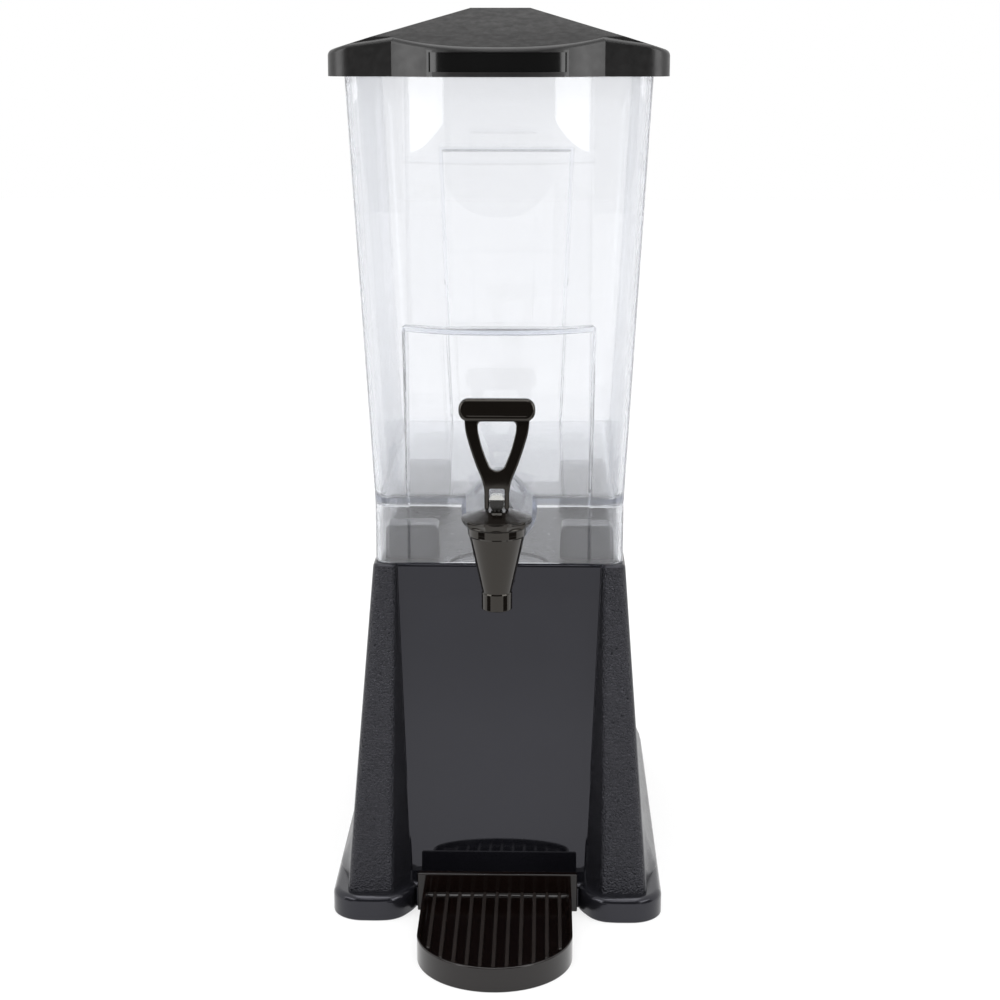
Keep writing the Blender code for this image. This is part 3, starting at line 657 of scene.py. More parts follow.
def base_outline(z, back=0.0):
    """Plan of the housing above the flange, moved in by back, with rounded edges."""
    drop = DECK_Z - z
    panel_y = PANEL_TOP_Y - PANEL_SLOPE * drop
    panel_x = PANEL_TOP_HALF_WIDTH - PANEL_TAPER * drop
    column_y = BASE_FRONT_Y - COLUMN_SLOPE * drop
    column_x = BASE_TOP_HALF_WIDTH + SIDE_SLOPE * drop
    share = (FLARE_TOP_Z - z) / (FLARE_TOP_Z - FLANGE_HEIGHT)
    flare = min(1.0, max(0.0, share)) ** 2 * FLARE_WIDTH
    side_x = column_x + FLARE_SIDE_SHARE * flare
    rear_y = BASE_REAR_Y + REAR_SLOPE * drop + FLARE_REAR_SHARE * flare
    half = [(panel_x, panel_y), (COLUMN_INNER_X, column_y), (column_x, column_y)]
    radii = [PANEL_FILLET + back, max(COLUMN_INNER_FILLET - back, 0.1 * MM)]
    radii.append(max(COLUMN_OUTER_FILLET - back, MM))
    sweep = 10
    for i in range(sweep + 1):  # the flare grows between 14 and 54 mm behind the column's face
        t = i / sweep
        ease = t * t * (3.0 - 2.0 * t)
        x = column_x + FLARE_SIDE_SHARE * flare * ease
        half.append((x, column_y + (14.0 + 40.0 * t) * MM))
        radii.append(0.0)
    half.append((side_x, rear_y))
    radii.append(TANK_CORNER)
    outline = mirrored(half)
    return filleted(inset(outline, back), radii + radii[::-1])


def flange_outline():
    """Plan of the foot flange: two rounded front feet, joined by a straight edge behind the drip tray."""
    behind_tray = TRAY_REAR_Y + 2.0 * GAP
    sweep = [
        (54.8 * MM, behind_tray), (56.5 * MM, -101.5 * MM), (59.5 * MM, -107.5 * MM),
        (64.0 * MM, -114.3 * MM), (70.5 * MM, -118.9 * MM), (79.0 * MM, FOOT_FRONT_Y),
        (90.0 * MM, FOOT_FRONT_Y),
    ]
    half = smooth_curve(sweep, 5)[:-1]
    toe_centre = (FLANGE_HALF_WIDTH - TOE_RADIUS, FOOT_FRONT_Y + TOE_RADIUS)
    heel_centre = (FLANGE_HALF_WIDTH - HEEL_RADIUS, FLANGE_REAR_Y - HEEL_RADIUS)
    half += arc(toe_centre, TOE_RADIUS, -90.0, 0.0, 16)
    half += arc(heel_centre, HEEL_RADIUS, 0.0, 90.0, 12)
    return mirrored(half)


def housing_shell():
    """The housing above the flange, open below."""
    levels = [BASE_FOOT_Z] + BASE_LEVELS + [DECK_Z - BASE_EDGE]
    rings = [at_height(base_outline(z), z) for z in levels]
    for rise, back in quarter(BASE_EDGE, 5)[1:]:
        z = DECK_Z - BASE_EDGE + rise
        rings.append(at_height(base_outline(z, back), z))
    shell = loft("base_shell", rings)
    inner_levels = [-MM] + BASE_LEVELS + [DECK_Z - WALL]
    cut(shell, loft("hollow", inner_rings(inner_levels, WALL)))
    return shell


def inner_rings(levels, wall):
    """Rings of the housing's inside. Below HOLLOW_FOOT_Z its walls go straight down."""
    return [at_height(base_outline(max(z, HOLLOW_FOOT_Z), wall), z) for z in levels]


def relief():
    """The shallow round relief in the deck below the tank's sump."""
    half = arc((0.0, TANK_FRONT_Y + 4.0 * MM), RELIEF_RADIUS, 0.0, 180.0, 40)
    return loft("relief", [at_height(half, z) for z in (DECK_Z - RELIEF_DEPTH, DECK_Z + MM)])


def lug(side, front_y):
    """One of the four lugs that locate the tank's skirt."""
    low_x, high_x = sorted((side * LUG_INNER_X, side * LUG_OUTER_X))
    outline = rounded_box((low_x, front_y), (high_x, front_y + LUG_DEPTH), LUG_CORNER, 8)
    edge_z = DECK_Z + LUG_HEIGHT - LUG_EDGE
    profile = [(DECK_Z - 1.5 * MM, 0.0), (edge_z, LUG_TAPER)]
    profile += [(edge_z + rise, LUG_TAPER + back) for rise, back in quarter(LUG_EDGE, 6)[1:]]
    return loft("lug", [at_height(inset(outline, back), z) for z, back in profile])


def add_flange(housing):
    """Joins the foot flange to the housing, and opens it from below."""
    edge = flange_outline()
    profile = [(0.0, 0.8 * MM), (0.5 * MM, 0.2 * MM), (1.2 * MM, 0.0), (8.0 * MM, 0.0)]
    profile += [(FLANGE_HEIGHT - FLANGE_EDGE + rise, back) for rise, back in quarter(FLANGE_EDGE, 7)]
    join(housing, loft("flange", [at_height(inset(edge, back), z) for z, back in profile]))
    hollow = loft("flange_hollow", [at_height(inset(edge, WALL), z) for z in (-2.0 * MM, 12.0 * MM)])
    core_levels = (-3.0 * MM, 7.0 * MM, 17.0 * MM, 19.0 * MM)
    cut(housing, hollow, loft("core", inner_rings(core_levels, WALL + 0.05 * MM)))


def make_base(smooth_panel, pebbled, smooth_side, foot):
    housing = housing_shell()
    cut(housing, relief())
    join(housing, merged("lugs", [lug(side, y) for side in (-1.0, 1.0) for y in LUG_FRONTS_Y]))
    add_flange(housing)
    smooth(housing, 30.0)
    dress(housing, "base", "base_housing", "base_plastic", smooth_panel, pebbled, smooth_side, foot)
    for face in housing.data.polygons:
        face.material_index = base_zone(face.center, face.normal)


def base_zone(centre, normal):
    """Which finish a face of the base has: 0 panel, lugs and relief, 1 column, 2 side, 3 foot."""
    drop = DECK_Z - centre.z
    if centre.z < FLANGE_HEIGHT + 0.2 * MM:
        return 3
    on_lug = drop < -0.3 * MM
    on_relief = normal.z > 0.9 and 0.9 * MM < drop < 1.5 * MM
    if on_lug or on_relief:
        return 0
    column_y = BASE_FRONT_Y - COLUMN_SLOPE * drop
    panel_y = PANEL_TOP_Y - PANEL_SLOPE * drop
    panel_x = PANEL_TOP_HALF_WIDTH - PANEL_TAPER * drop
    if centre.y < panel_y + 0.4 * MM and abs(centre.x) > panel_x - 0.3 * MM and drop > 2.0 * MM:
        outwards = abs(normal.x) > 0.8 and centre.x * normal.x > 0.0
        outer_side = abs(centre.x) > COLUMN_INNER_X and outwards
        return 1 if not outer_side or centre.y < column_y + 3.0 * MM else 2
    on_panel = abs(centre.x) < panel_x and abs(centre.y - panel_y) < 3.0 * MM
    return 0 if on_panel else 2


# ---- drip tray

def tray_outline(back):
    radius = TRAY_RADIUS - back
    centre_y = TRAY_FRONT_Y + TRAY_RADIUS
    rear_y = TRAY_REAR_Y - TRAY_BACK_THICKNESS - back + TRAY_WALL
    front = arc((0.0, centre_y), radius, -90.0, 0.0, 30)
    return mirrored(front[1:] + [(radius, rear_y)]) + [(0.0, centre_y - radius)]


def make_tray(gloss, rib_tops):
    rim = TRAY_RIM_ROUNDING
    rings = [(TRAY_WALL, TRAY_FLOOR_Z - TRAY_WALL), (TRAY_WALL, 0.4 * MM), (TRAY_WALL - 0.4 * MM, 0.0)]
    rings += [(0.7 * MM, 0.0), (0.2 * MM, 0.25 * MM), (0.0, 0.9 * MM)]
    rounding = quarter(rim, 4)
    rim_z = TRAY_RIM_Z - rim
    rings += [(back, rim_z + rise) for rise, back in rounding]
    rings += [(2.0 * rim - back + 0.3 * MM, rim_z + rise) for rise, back in rounding[::-1]]
    steps = 4
    for i in range(steps + 1):
        angle = 0.5 * math.pi * i / steps
        back = TRAY_WALL + TRAY_FLOOR_ROUNDING * (1.0 - math.cos(angle))
        rings.append((back, TRAY_FLOOR_Z + TRAY_FLOOR_ROUNDING * (1.0 - math.sin(angle))))
    tray = loft("tray_dish", [at_height(tray_outline(back), z) for back, z in rings])
    low = (-TRAY_BACK_HALF_WIDTH, TRAY_REAR_Y - TRAY_BACK_THICKNESS)
    wall_outline = rounded_box(low, (TRAY_BACK_HALF_WIDTH, TRAY_REAR_Y), TRAY_BACK_CORNER, 4)
    profile = [(0.0, 0.3 * MM), (0.4 * MM, 0.0), (TRAY_BACK_Z - MM, 0.0)]
    profile += [(TRAY_BACK_Z - MM + rise, back) for rise, back in quarter(MM, 4)[1:]]
    join(tray, loft("wall", [at_height(inset(wall_outline, back), z) for z, back in profile]))
    join(tray, merged("ribs", [rib(index) for index in range(RIB_COUNT)]))
    smooth(tray, 40.0)
    dress(tray, "tray", "drip_tray", "tray_plastic", gloss, rib_tops)
    for face in tray.data.polygons:
        face.material_index = 1 if on_rib_top(face.center) else 0


def on_rib_top(centre):
    """Whether a face is high up on a rib, and so away from the tray's walls."""
    reach = TRAY_RADIUS - RIB_ZONE_MARGIN
    high = TRAY_FLOOR_Z + RIB_TOP_START < centre.z < TRAY_FLOOR_Z + RIB_HEIGHT + 0.1 * MM
    in_round = Vector((centre.x, centre.y - TRAY_FRONT_Y - TRAY_RADIUS)).length < reach
    behind = centre.y > TRAY_FRONT_Y + TRAY_RADIUS and abs(centre.x) < reach
    return high and (in_round or behind)


def rib(index):
    x = (index - (RIB_COUNT - 1) / 2) * RIB_PITCH
    reach = TRAY_RADIUS - TRAY_WALL - 2.6 * MM
    front = TRAY_FRONT_Y + TRAY_RADIUS - math.sqrt(reach ** 2 - x ** 2)
    rear = TRAY_REAR_Y - TRAY_BACK_THICKNESS - 2.5 * MM
    half = 0.5 * RIB_WIDTH
    outline = arc((x, rear), half, 0.0, 180.0, 8) + arc((x, front), half, 180.0, 360.0, 8)
    edge_z = TRAY_FLOOR_Z + RIB_HEIGHT - RIB_EDGE
    foot = -0.25 * MM
    profile = [(TRAY_FLOOR_Z - MM, foot), (TRAY_FLOOR_Z + 0.1 * MM, foot), (edge_z, 0.0)]
    profile += [(edge_z + rise, back) for rise, back in quarter(RIB_EDGE, 4)[1:]]
    return loft("rib", [at_height(inset(outline, back), z) for z, back in profile])


# ---- tank

def floor_underside(x, y):
    return TANK_FLOOR_Z + FLOOR_SLOPE * (y - TANK_FRONT_Y)


def tank_outline(z, bulge, rear):
    """Plan of the tank. bulge and rear run from 0, recessed panel, to 1, full shape."""
    lift = max(0.0, z - TANK_FLOOR_Z) * TANK_DRAFT
    half_width = TANK_HALF_WIDTH + lift
    front_y = TANK_FRONT_Y - lift
    rear_y = TANK_REAR_Y + lift
    steps = 24
    half = []
    for i in range(steps):
        share = math.sin(0.5 * math.pi * i / steps)
        full_x = BULGE_HALF_WIDTH * share
        full_y = front_y - BULGE_DEPTH * (1.0 - share ** BULGE_POWER)
        flat_x = (BULGE_HALF_WIDTH - PANEL_EDGE) * share
        x = flat_x + (full_x - flat_x) * bulge
        half.append((x, FRONT_PANEL_Y + (full_y - FRONT_PANEL_Y) * bulge))
    half.append((BULGE_HALF_WIDTH, front_y))
    half += arc((half_width - TANK_CORNER, front_y + TANK_CORNER), TANK_CORNER, -90.0, 0.0, 10)
    half += arc((half_width - TANK_CORNER, rear_y - TANK_CORNER), TANK_CORNER, 0.0, 90.0, 10)
    panel_half_width = REAR_PANEL_HALF_WIDTH + REAR_PANEL_TAPER * max(0.0, z - TANK_FLOOR_Z)
    panel_y = REAR_PANEL_Y + (rear_y - REAR_PANEL_Y) * rear
    half += [(panel_half_width + PANEL_EDGE, rear_y), (panel_half_width, panel_y), (0.0, panel_y)]
    return mirrored(half)


def tank_levels(inner):
    """(z, bulge, rear) up the wall, with the lower edges of the bulge and of the rear step rounded."""
    rise = WALL if inner else 0.0
    levels = []
    steps = 6
    for base_z, is_front in ((BULGE_LEDGE_Z + rise, True), (REAR_LEDGE_Z + rise, False)):
        depth = BULGE_DEPTH if is_front else REAR_LEDGE_DEPTH
        ring = (lambda f: (f, 0.0)) if is_front else (lambda f: (1.0, f))
        levels.append((base_z, *ring(0.0)))
        for i in range(steps + 1):
            angle = 0.5 * math.pi * i / steps
            share = 1.0 - LEDGE_ROUNDING * (1.0 - math.sin(angle)) / depth
            levels.append((base_z + STEP + LEDGE_ROUNDING * (1.0 - math.cos(angle)), *ring(share)))
    return levels


def tank_ring(z, bulge, rear, back, height=None):
    """The tank's plan at z, moved in by back, and set at another height if one is given."""
    return at_height(inset(tank_outline(z, bulge, rear), back), z if height is None else height)


def tank_shell():
    """The tank's outside as a full solid, from the skirt's foot to the rim."""
    foot_z = DECK_Z + GAP
    rings = [tank_ring(foot_z, 0.0, 0.0, SKIRT_FOOT_INSET), tank_ring(foot_z + 0.5 * MM, 0.0, 0.0, 0.0)]
    rings.append(tank_ring(TANK_FLOOR_Z, 0.0, 0.0, 0.0))
    rings += [tank_ring(*level, 0.0) for level in tank_levels(False)]
    for rise, back in quarter(TANK_RIM_ROUNDING, 4):
        z = TANK_RIM_Z - TANK_RIM_ROUNDING + rise
        rings.append(tank_ring(z, 1.0, 1.0, back))
    return loft("tank_shell", rings)


def tank_cavity():
    """The tank's inside, on a sloping floor with rounded edges."""
    rings = []
    steps = 5
    for i in range(steps + 1):
        angle = 0.5 * math.pi * i / steps
        back = WALL + TANK_FLOOR_ROUNDING * (1.0 - math.sin(angle))
        lift = WALL + TANK_FLOOR_ROUNDING * (1.0 - math.cos(angle))
        raised = lambda x, y, lift=lift: floor_underside(x, y) + lift
        rings.append(tank_ring(TANK_FLOOR_Z + WALL, 0.0, 0.0, back, raised))
    rings += [tank_ring(*level, WALL) for level in tank_levels(True)]
    rings.append(tank_ring(TANK_RIM_Z + MM, 1.0, 1.0, WALL))
    return loft("cavity", rings)


def skirt_hollow():
    """The space inside the skirt, below the tank's floor."""
    rings = [tank_ring(0.0, 0.0, 0.0, WALL, DECK_Z - MM)]
    for rise, back in quarter(SKIRT_ROUNDING, 4):
        lowered = lambda x, y, rise=rise: floor_underside(x, y) - SKIRT_ROUNDING + rise
        rings.append(tank_ring(0.0, 0.0, 0.0, WALL + back, lowered))
    return loft("skirt_hollow", rings)


def sump_ring(y, radius, centre_z, top_z):
    lower = arc((0.0, centre_z), radius, 180.0, 360.0, 48)
    outline = lower + [(radius, top_z), (-radius, top_z)]
    return [(x, y, z) for x, z in outline]


def make_tank(material):
    tank = tank_shell()
    front = TANK_FRONT_Y + PANEL_RECESS + WALL
    tip_z = floor_underside(0.0, SUMP_REAR_Y)
    top_z = TANK_FLOOR_Z + SUMP_TOP_OVERLAP
    open_z = TANK_FLOOR_Z + SUMP_OPENING_HEIGHT
    shell = loft("sump_shell", [
        sump_ring(TANK_FRONT_Y + 2.2 * MM, SUMP_RADIUS, SUMP_Z, top_z),
        sump_ring(SUMP_DRUM_Y, SUMP_RADIUS, SUMP_Z, top_z),
        sump_ring(SUMP_REAR_Y, SUMP_TIP_RADIUS, tip_z, tip_z + SUMP_TOP_OVERLAP),
    ])
    inner = loft("sump_hollow", [
        sump_ring(front, SUMP_RADIUS - WALL, SUMP_Z, open_z),
        sump_ring(SUMP_DRUM_Y - MM, SUMP_RADIUS - WALL, SUMP_Z, open_z),
        sump_ring(SUMP_REAR_Y - WALL, SUMP_TIP_RADIUS - WALL, tip_z, tip_z + SUMP_OPENING_HEIGHT),
    ])
    hole_radius = SHANK_RADIUS + SHANK_HOLE_GAP
    hole = turned_along_y("hole", [(hole_radius, TANK_FRONT_Y - MM), (hole_radius, front + MM)], SHANK_Z)
    cut(tank, tank_cavity(), skirt_hollow())
    join(tank, shell)
    cut(tank, inner, hole)
    smooth(tank, 30.0)
    tank.visible_shadow = False
    dress(tank, "tank", "tank", "clear_plastic", material)


# ---- lid

def lid_outline():
    steps = 24
    half = []
    for i in range(steps + 1):
        share = math.sin(0.5 * math.pi * i / steps)
        y = LID_FRONT_Y - BULGE_DEPTH * (1.0 - share ** BULGE_POWER)
        half.append((LID_BULGE_HALF_WIDTH * share, y))
    centre_x = LID_HALF_WIDTH - LID_CORNER
    half += arc((centre_x, LID_FRONT_Y + LID_CORNER), LID_CORNER, -90.0, 0.0, 10)
    half += arc((centre_x, LID_REAR_Y - LID_CORNER), LID_CORNER, 0.0, 90.0, 10)
    return mirrored(half)


def roof_block(lowered):
    """A frustum with the lid's four roof slopes."""
    spread = (RIDGE_Z - ROOF_FOOT_Z) / ROOF_SLOPE
    rings = []
    for z, out in ((ROOF_FOOT_Z, spread), (RIDGE_Z, 0.0)):
        x = RIDGE_HALF_WIDTH + out
        rear, front = RIDGE_REAR_Y + out, RIDGE_FRONT_Y - out
        rings.append(at_height([(x, rear), (-x, rear), (-x, front), (x, front)], z - lowered))
    return loft("roof", rings)


def roof_height(x, y):
    """Height of the roof's slopes over a point of the plan."""
    beyond = max(abs(x) - RIDGE_HALF_WIDTH, RIDGE_FRONT_Y - y, y - RIDGE_REAR_Y, 0.0)
    return RIDGE_Z - beyond * ROOF_SLOPE


def lid_ring(outline, outer, inner, low, high):
    """A flat ring between two insets of the outline."""
    ring = loft("ring", [at_height(inset(outline, outer), z) for z in (low, high)])
    hole = loft("hole", [at_height(inset(outline, inner), z) for z in (low - MM, high + MM)])
    cut(ring, hole)
    return ring


def label_pocket(outline):
    """A shallow plain pocket that follows the lid's bulge."""
    reach = LABEL_HALF_WIDTH
    face = [point for point in inset(outline, 0.8 * MM) if abs(point[0]) < reach and point[1] < 0.0]
    face.sort()
    far_y = LID_FRONT_Y - BULGE_DEPTH - 5.0 * MM
    end_y = LID_FRONT_Y - 12.3 * MM
    plan = [(reach, far_y), (reach, end_y)] + face[::-1] + [(-reach, end_y), (-reach, far_y)]
    return loft("pocket", [at_height(plan, z) for z in (POCKET_LOW_Z, POCKET_HIGH_Z)])


def lid_shell(outline):
    """The lid as an open shell, with its upper edge rounded into the roof's slopes."""
    rings = [at_height(outline, LID_EDGE_Z)]
    slope = math.atan(ROOF_SLOPE)
    steps = 7
    for i in range(steps + 1):
        turn = (0.5 * math.pi - slope) * i / steps * 0.95
        back = LID_ROUNDING * (1.0 - math.cos(turn))
        centre_drop = LID_ROUNDING / math.cos(slope) - LID_ROUNDING * ROOF_SLOPE
        drop = back * ROOF_SLOPE + centre_drop - LID_ROUNDING * math.sin(turn)
        below_roof = lambda x, y, drop=drop: roof_height(x, y) - drop
        rings.append(at_height(inset(outline, back), below_roof))
    top_z = RIDGE_Z + ABOVE_ROOF
    rings.append([(x, y, top_z) for x, y, z in rings[-1]])
    shell = loft("lid_shell", rings)
    boolean(shell, roof_block(0.0), "INTERSECT")
    hollow = loft("hollow", [at_height(inset(outline, WALL), z) for z in (LID_EDGE_Z - MM, top_z)])
    boolean(hollow, roof_block(WALL), "INTERSECT")
    cut(shell, hollow)
    return shell


def make_lid(satin, pocket_gloss, roof_satin):
    outline = lid_outline()
    lid = lid_shell(outline)
    join(lid, lid_ring(outline, LID_RING_OUTSIDE, LID_RING_INSIDE, LID_REST_Z, LID_REST_Z + 3.0 * MM))
    lip_low, lip_high = LID_EDGE_Z + 2.0 * MM, LID_REST_Z + 1.5 * MM
    join(lid, lid_ring(outline, LID_LIP_OUTSIDE, LID_RING_INSIDE, lip_low, lip_high))
    cut(lid, label_pocket(outline))
    smooth(lid, 33.0)
    dress(lid, "lid", "lid", "lid_plastic", satin, pocket_gloss, roof_satin)
    for face in lid.data.polygons:
        face.material_index = lid_zone(face.center, face.normal)


def lid_zone(centre, normal):
    """Which of the lid's finishes a face has: 0 satin sides, 1 glossy pocket, 2 satin roof."""
    across = abs(centre.x) < LABEL_HALF_WIDTH and POCKET_LOW_Z < centre.z < POCKET_HIGH_Z
    if across and centre.y < LID_FRONT_Y - 5.0 * MM and normal.y < -0.7:
        return 1
    return 2 if normal.z > 0.9 else 0


# ---- faucet

def make_faucet_body(material):
    """The spout and valve chamber on the valve's axis, with the shank behind them."""
    outer = [
        (0.0, SPOUT_Z), (SPOUT_RADIUS, SPOUT_Z), (SPOUT_RADIUS, 226.3 * MM), (9.7 * MM, 227.3 * MM),
        (18.0 * MM, 264.6 * MM), (CHAMBER_OUTER_RADIUS, 265.6 * MM),
        (CHAMBER_OUTER_RADIUS, BODY_TOP_Z), (0.0, BODY_TOP_Z),
    ]
    radii = [0.0, 0.8 * MM, 0.4 * MM, 0.6 * MM, 0.6 * MM, 0.5 * MM, 0.4 * MM, 0.0]
    body = revolved("faucet_spout", filleted(outer, radii, closed=False, steps=4), 128)
    shank = turned_along_y("shank", [
        (SHANK_RADIUS, VALVE_Y + 8.0 * MM), (SHANK_RADIUS, SHANK_REAR_Y - 0.8 * MM),
        (SHANK_RADIUS - 0.8 * MM, SHANK_REAR_Y),
    ], SHANK_Z)
    neck_ends = [(SHANK_NECK_RADIUS, VALVE_Y + 8.5 * MM), (SHANK_NECK_RADIUS, -56.0 * MM)]
    neck = turned_along_y("neck", neck_ends, SHANK_Z - 2.0 * MM)
    collar = turned_along_y("collar", [
        (12.4 * MM, -58.0 * MM), (COLLAR_RADIUS, -57.4 * MM), (COLLAR_RADIUS, COLLAR_REAR_Y),
    ], SHANK_Z)
    chamber = revolved("chamber", [
        (0.0, SPOUT_Z - MM), (7.5 * MM, SPOUT_Z - MM), (7.5 * MM, 226.0 * MM), (6.0 * MM, 229.0 * MM),
        (6.0 * MM, 231.0 * MM), (9.8 * MM, 236.0 * MM), (14.5 * MM, 258.0 * MM),
        (14.8 * MM, BODY_TOP_Z + MM), (0.0, BODY_TOP_Z + MM),
    ], 64)
    bore_ends = [(BORE_RADIUS, VALVE_Y + 2.0 * MM), (BORE_RADIUS, SHANK_REAR_Y + MM)]
    bore = turned_along_y("bore", bore_ends, SHANK_Z)
    join(body, shank, neck, collar)
    cut(body, chamber, bore)
    smooth(body, 35.0)
    dress(body, "tank", "faucet_body", "faucet_plastic", material)


def scalloped(angle, z):
    """The bonnet's radius as a share of its profile: grip scallops, one of them facing the front."""
    low, high = BONNET_LOW_Z + 3.6 * MM, BONNET_TOP_Z - 4.4 * MM
    pitch = 2.0 * math.pi / BONNET_SCALLOPS
    offset = (angle + 0.5 * math.pi + 0.5 * pitch) % pitch - 0.5 * pitch
    hollow = SCALLOP_DEPTH * math.cos(math.pi * offset / pitch) ** 0.8
    fade = min(1.0, max(0.0, min(z - low, high - z) / (1.5 * MM)))
    return 1.0 - hollow * fade


def subdivided(profile, longest):
    """The profile with its long stretches cut into equal shorter ones."""
    fine = [profile[0]]
    for start, end in zip(profile, profile[1:]):
        pieces = max(1, round((Vector(end) - Vector(start)).length / longest))
        fine += [tuple(Vector(start).lerp(Vector(end), k / pieces)) for k in range(1, pieces + 1)]
    return fine


def make_bonnet(material):
    """A screw cap with grip scallops, under a shallow conical top."""
    outer = [
        (15.0 * MM, BONNET_LOW_Z), (18.8 * MM, BONNET_LOW_Z), (18.9 * MM, BONNET_LOW_Z + 3.0 * MM),
        (21.4 * MM, BONNET_LOW_Z + 4.4 * MM), (23.0 * MM, BONNET_LOW_Z + 7.4 * MM),
        (22.9 * MM, BONNET_TOP_Z - 4.6 * MM), (9.5 * MM, BONNET_TOP_Z), (STEM_HOLE_RADIUS, BONNET_TOP_Z),
    ]
    radii = [0.0, 0.2 * MM, 0.2 * MM, 1.0 * MM, 2.0 * MM, 0.5 * MM, 1.0 * MM, 0.0]
    inner = [(STEM_HOLE_RADIUS, BONNET_ROOF_Z), (9.0 * MM, BONNET_ROOF_Z), (15.0 * MM, 274.0 * MM)]
    fine = subdivided(filleted(outer, radii, closed=False), 0.8 * MM)
    bonnet = revolved("bonnet_cap", fine + inner, 200, scalloped, closed=True)
    smooth(bonnet, 50.0)
    dress(bonnet, "tank", "faucet_bonnet", "faucet_plastic", material)


def lean_back(piece, rear_y, depth, low_z):
    """Leans the front of a piece back by HANDLE_LEAN; its rear face stays upright."""
    for vertex in piece.data.vertices:
        share = (rear_y - vertex.co.y) / depth
        vertex.co.y += share * HANDLE_LEAN * max(0.0, vertex.co.z - low_z)


def handle_legs(bar_low, front, rear):
    """Two curved legs on a forked neck, with rounded edges."""
    leg = smooth_curve([
        (NECK_HALF_WIDTH, 293.5 * MM), (9.6 * MM, 301.0 * MM), (13.6 * MM, 311.0 * MM),
        (17.6 * MM, 323.0 * MM), (20.2 * MM, 333.0 * MM), (21.0 * MM, bar_low + LEG_OVERLAP),
    ], 5)
    half = [(0.0, HANDLE_LOW_Z), (NECK_HALF_WIDTH, HANDLE_LOW_Z)] + leg + [(0.0, bar_low + LEG_OVERLAP)]
    legs = along_y("handle_loop", mirrored(half), front, rear)
    opening = arc((0.0, 312.5 * MM), 5.5 * MM, -90.0, -18.0, 8)
    opening += smooth_curve([
        (5.4 * MM, 311.3 * MM), (7.6 * MM, 316.5 * MM), (9.8 * MM, 323.0 * MM),
        (11.9 * MM, 331.5 * MM), (12.3 * MM, 335.5 * MM),
    ], 4)[1:]
    opening += arc((9.3 * MM, 336.0 * MM), 3.0 * MM, 8.0, 90.0, 6)
    loop = along_y("loop", mirrored(opening), front - MM, rear + MM)
    slot_low = (-FORK_SLOT_HALF_WIDTH, HANDLE_LOW_Z - 3.0 * MM)
    slot = rounded_box(slot_low, (FORK_SLOT_HALF_WIDTH, FORK_SLOT_TOP_Z), 1.2 * MM, 5)
    cut(legs, loop, along_y("slot", slot, front - MM, rear + MM))
    bevel(legs, LEG_ROUNDING, 40.0, 5)
    lean_back(legs, rear, rear - front, HANDLE_LOW_Z)
    return legs


def handle_bar(bar_low, front, rear):
    """The broad bar above the legs."""
    outline = rounded_box((-BAR_HALF_WIDTH, bar_low), (BAR_HALF_WIDTH, HANDLE_TOP_Z), BAR_CORNER, 10)
    rounding = quarter(BAR_ROUNDING, 5)
    levels = [(front + BAR_ROUNDING - rise, back) for rise, back in rounding[::-1]]
    levels += [(rear - BAR_ROUNDING + rise, back) for rise, back in rounding]
    bar = loft("bar", [[(x, y, z) for x, z in inset(outline, back)] for y, back in levels])
    lean_back(bar, rear, rear - front, bar_low)
    return bar


def make_handle(material):
    """A loop handle: two legs under a broad bar with a plain recessed face."""
    depth = 0.5 * (HANDLE_REAR_Y - HANDLE_FRONT_Y)
    front, rear = VALVE_Y - depth, VALVE_Y + depth
    bar_low = HANDLE_TOP_Z - BAR_HEIGHT
    handle = handle_legs(bar_low, front + LEG_INSET, rear - LEG_INSET)
    join(handle, handle_bar(bar_low, front, rear))
    face_low = (-BAR_HALF_WIDTH + BAR_FACE_MARGIN, bar_low + BAR_FACE_MARGIN)
    face_high = (BAR_HALF_WIDTH - BAR_FACE_MARGIN, HANDLE_TOP_Z - BAR_FACE_MARGIN)
    face = rounded_box(face_low, face_high, BAR_FACE_MARGIN, 6)
    cut(handle, along_y("face", face, front - MM, front + BAR_FACE_DEPTH))
    eye = arc((0.0, 0.0), PIN_RADIUS + PIN_HOLE_GAP, 0.0, 350.0, 35)
    eyes = [(VALVE_Y + y, PIVOT_Z + z) for y, z in eye]
    cut(handle, loft("eyes", [[(x, y, z) for y, z in eyes] for x in (-12.0 * MM, 12.0 * MM)]))
    smooth(handle, 38.0)
    dress(handle, "handle", "faucet_handle", "faucet_plastic", material)


def finish_inner_pieces():
    """Better materials on the CAD pieces whose shapes are already right."""
    steel = drawn_steel("drawn_steel")
    rubber = soft_rubber("washer_rubber", (0.045, 0.045, 0.047), 0.7)
    finishes = {
        "valve_stem": shade_darkened_stem("stem_steel"),
        "handle_pin": steel,
        "valve_spring": drawn_steel("spring_wire", (0.5, 0.5, 0.5)),
        "seat_cup": soft_rubber("seat_silicone", (0.72, 0.72, 0.69), 0.45, 0.4),
        "outer_washer": rubber,
        "inner_washer": rubber,
        "shank_nut": moulded_plastic("nut_plastic", (0.028, 0.027, 0.027), 0.4, 0.08, (1500.0, 0.02 * MM)),
    }
    for node, material in finishes.items():
        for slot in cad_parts[node].material_slots:
            slot.material = material


# ---- studio

def flat_material(name, colour, emission=0.0):
    m = Nodes(name)
    dark, light = shades(colour, 0.01)
    m.feed("Base Color", m.colour_between(m.noise(3.0, 2.0), dark, light))
    m.set(Roughness=0.9, Emission_Color=(1.0, 1.0, 1.0, 1.0), Emission_Strength=emission)
    return m.material


def make_floor():
    signs = ((-1, -1), (1, -1), (1, 1), (-1, 1))
    corners = [(x * FLOOR_REACH, y * FLOOR_REACH, 0.0) for x, y in signs]
    floor = piece_from("floor", corners, [(0, 1, 2, 3)])
    floor.data.materials.append(flat_material("floor_white", (0.3, 0.3, 0.3), 0.68))


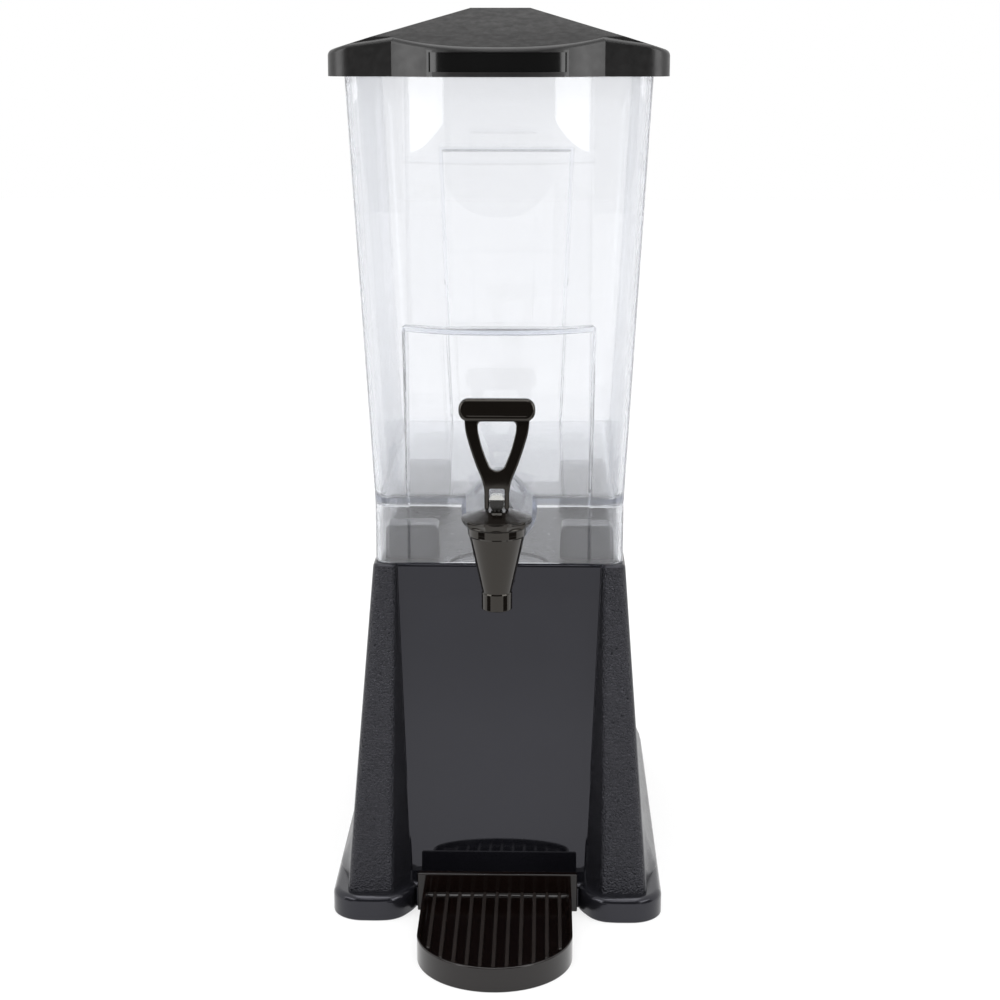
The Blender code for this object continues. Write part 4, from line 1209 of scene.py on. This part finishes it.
def make_card(name, start, end, low, high, material):
    """An upright studio card between two plan points, seen only by mirror-like reflections."""
    corners = [(*start, low), (*end, low), (*end, high), (*start, high)]
    card = piece_from(name, corners, [(0, 1, 2, 3)])
    card.data.materials.append(material)
    card.visible_camera = False
    card.visible_diffuse = False
    card.visible_transmission = False
    card.visible_shadow = False


def make_studio():
    world = bpy.data.worlds.new("studio")
    bpy.context.scene.world = world
    world.use_nodes = True
    background = world.node_tree.nodes["Background"]
    background.inputs["Color"].default_value = (1.0, 1.0, 1.0, 1.0)
    background.inputs["Strength"].default_value = 1.0
    make_floor()
    black = flat_material("card_black", (0.004, 0.004, 0.004))
    for name, card in CARDS.items():
        make_card(name, *card, black)
    for name, lamp in LAMPS.items():
        add_area(name, *lamp)
    scene = bpy.context.scene
    scene.view_settings.view_transform = "Standard"
    scene.cycles.max_bounces = LIGHT_BOUNCES
    scene.cycles.transmission_bounces = LIGHT_BOUNCES


def add_area(name, place, size, power):
    light = bpy.data.lights.new(name, "AREA")
    light.shape = "RECTANGLE"
    light.size, light.size_y = size
    light.energy = power
    lamp = placed(name, light)
    lamp.location = place
    aim = Vector(LAMP_AIM) - Vector(place)
    lamp.rotation_euler = aim.to_track_quat("-Z", "Y").to_euler()


def make_camera():
    lens = bpy.data.cameras.new("camera")
    lens.lens = 72.0
    lens.sensor_width = 36.0
    lens.clip_start = 0.05
    camera = placed("camera", lens)
    camera.location = CAMERA_PLACE
    camera.rotation_euler = [math.radians(turn) for turn in CAMERA_TURN]
    bpy.context.scene.camera = camera


# ---- the object

make_camera()
make_base(
    moulded_plastic("panel_plastic", BLACK, 0.035, 0.08, None, 0.004 * MM, 0.54, COOL),
    pebbled_plastic("pebbled_plastic", BLACK, 0.2),
    moulded_plastic("side_plastic", (0.008, 0.008, 0.010), 0.3, 0.1, (900.0, 0.01 * MM), tint=COOL),
    moulded_plastic("foot_plastic", (0.007, 0.007, 0.009), 0.16, 0.1, (1000.0, 0.05 * MM), tint=COOL),
)
make_tray(
    moulded_plastic("tray_black", (0.0040, 0.0022, 0.0018), 0.08, 0.1, None, 0.006 * MM),
    moulded_plastic("rib_tops", (0.016, 0.013, 0.012), 0.22, 0.15),
)
make_tank(clear_plastic("clear_tank"))
make_lid(
    moulded_plastic("lid_satin", (0.008, 0.0076, 0.0076), 0.34, 0.12, (1300.0, 0.03 * MM)),
    moulded_plastic("lid_pocket", (0.004, 0.004, 0.004), 0.12, 0.1),
    moulded_plastic("roof_satin", (0.010, 0.0094, 0.0094), 0.5, 0.18, (1000.0, 0.12 * MM), gloss=0.15),
)
faucet_black = moulded_plastic(
    "faucet_gloss", (0.0045, 0.0036, 0.0030), 0.035, 0.1, None, 0.006 * MM, tint=WARM)
make_faucet_body(faucet_black)
make_bonnet(faucet_black)
make_handle(faucet_black)
finish_inner_pieces()
make_studio()
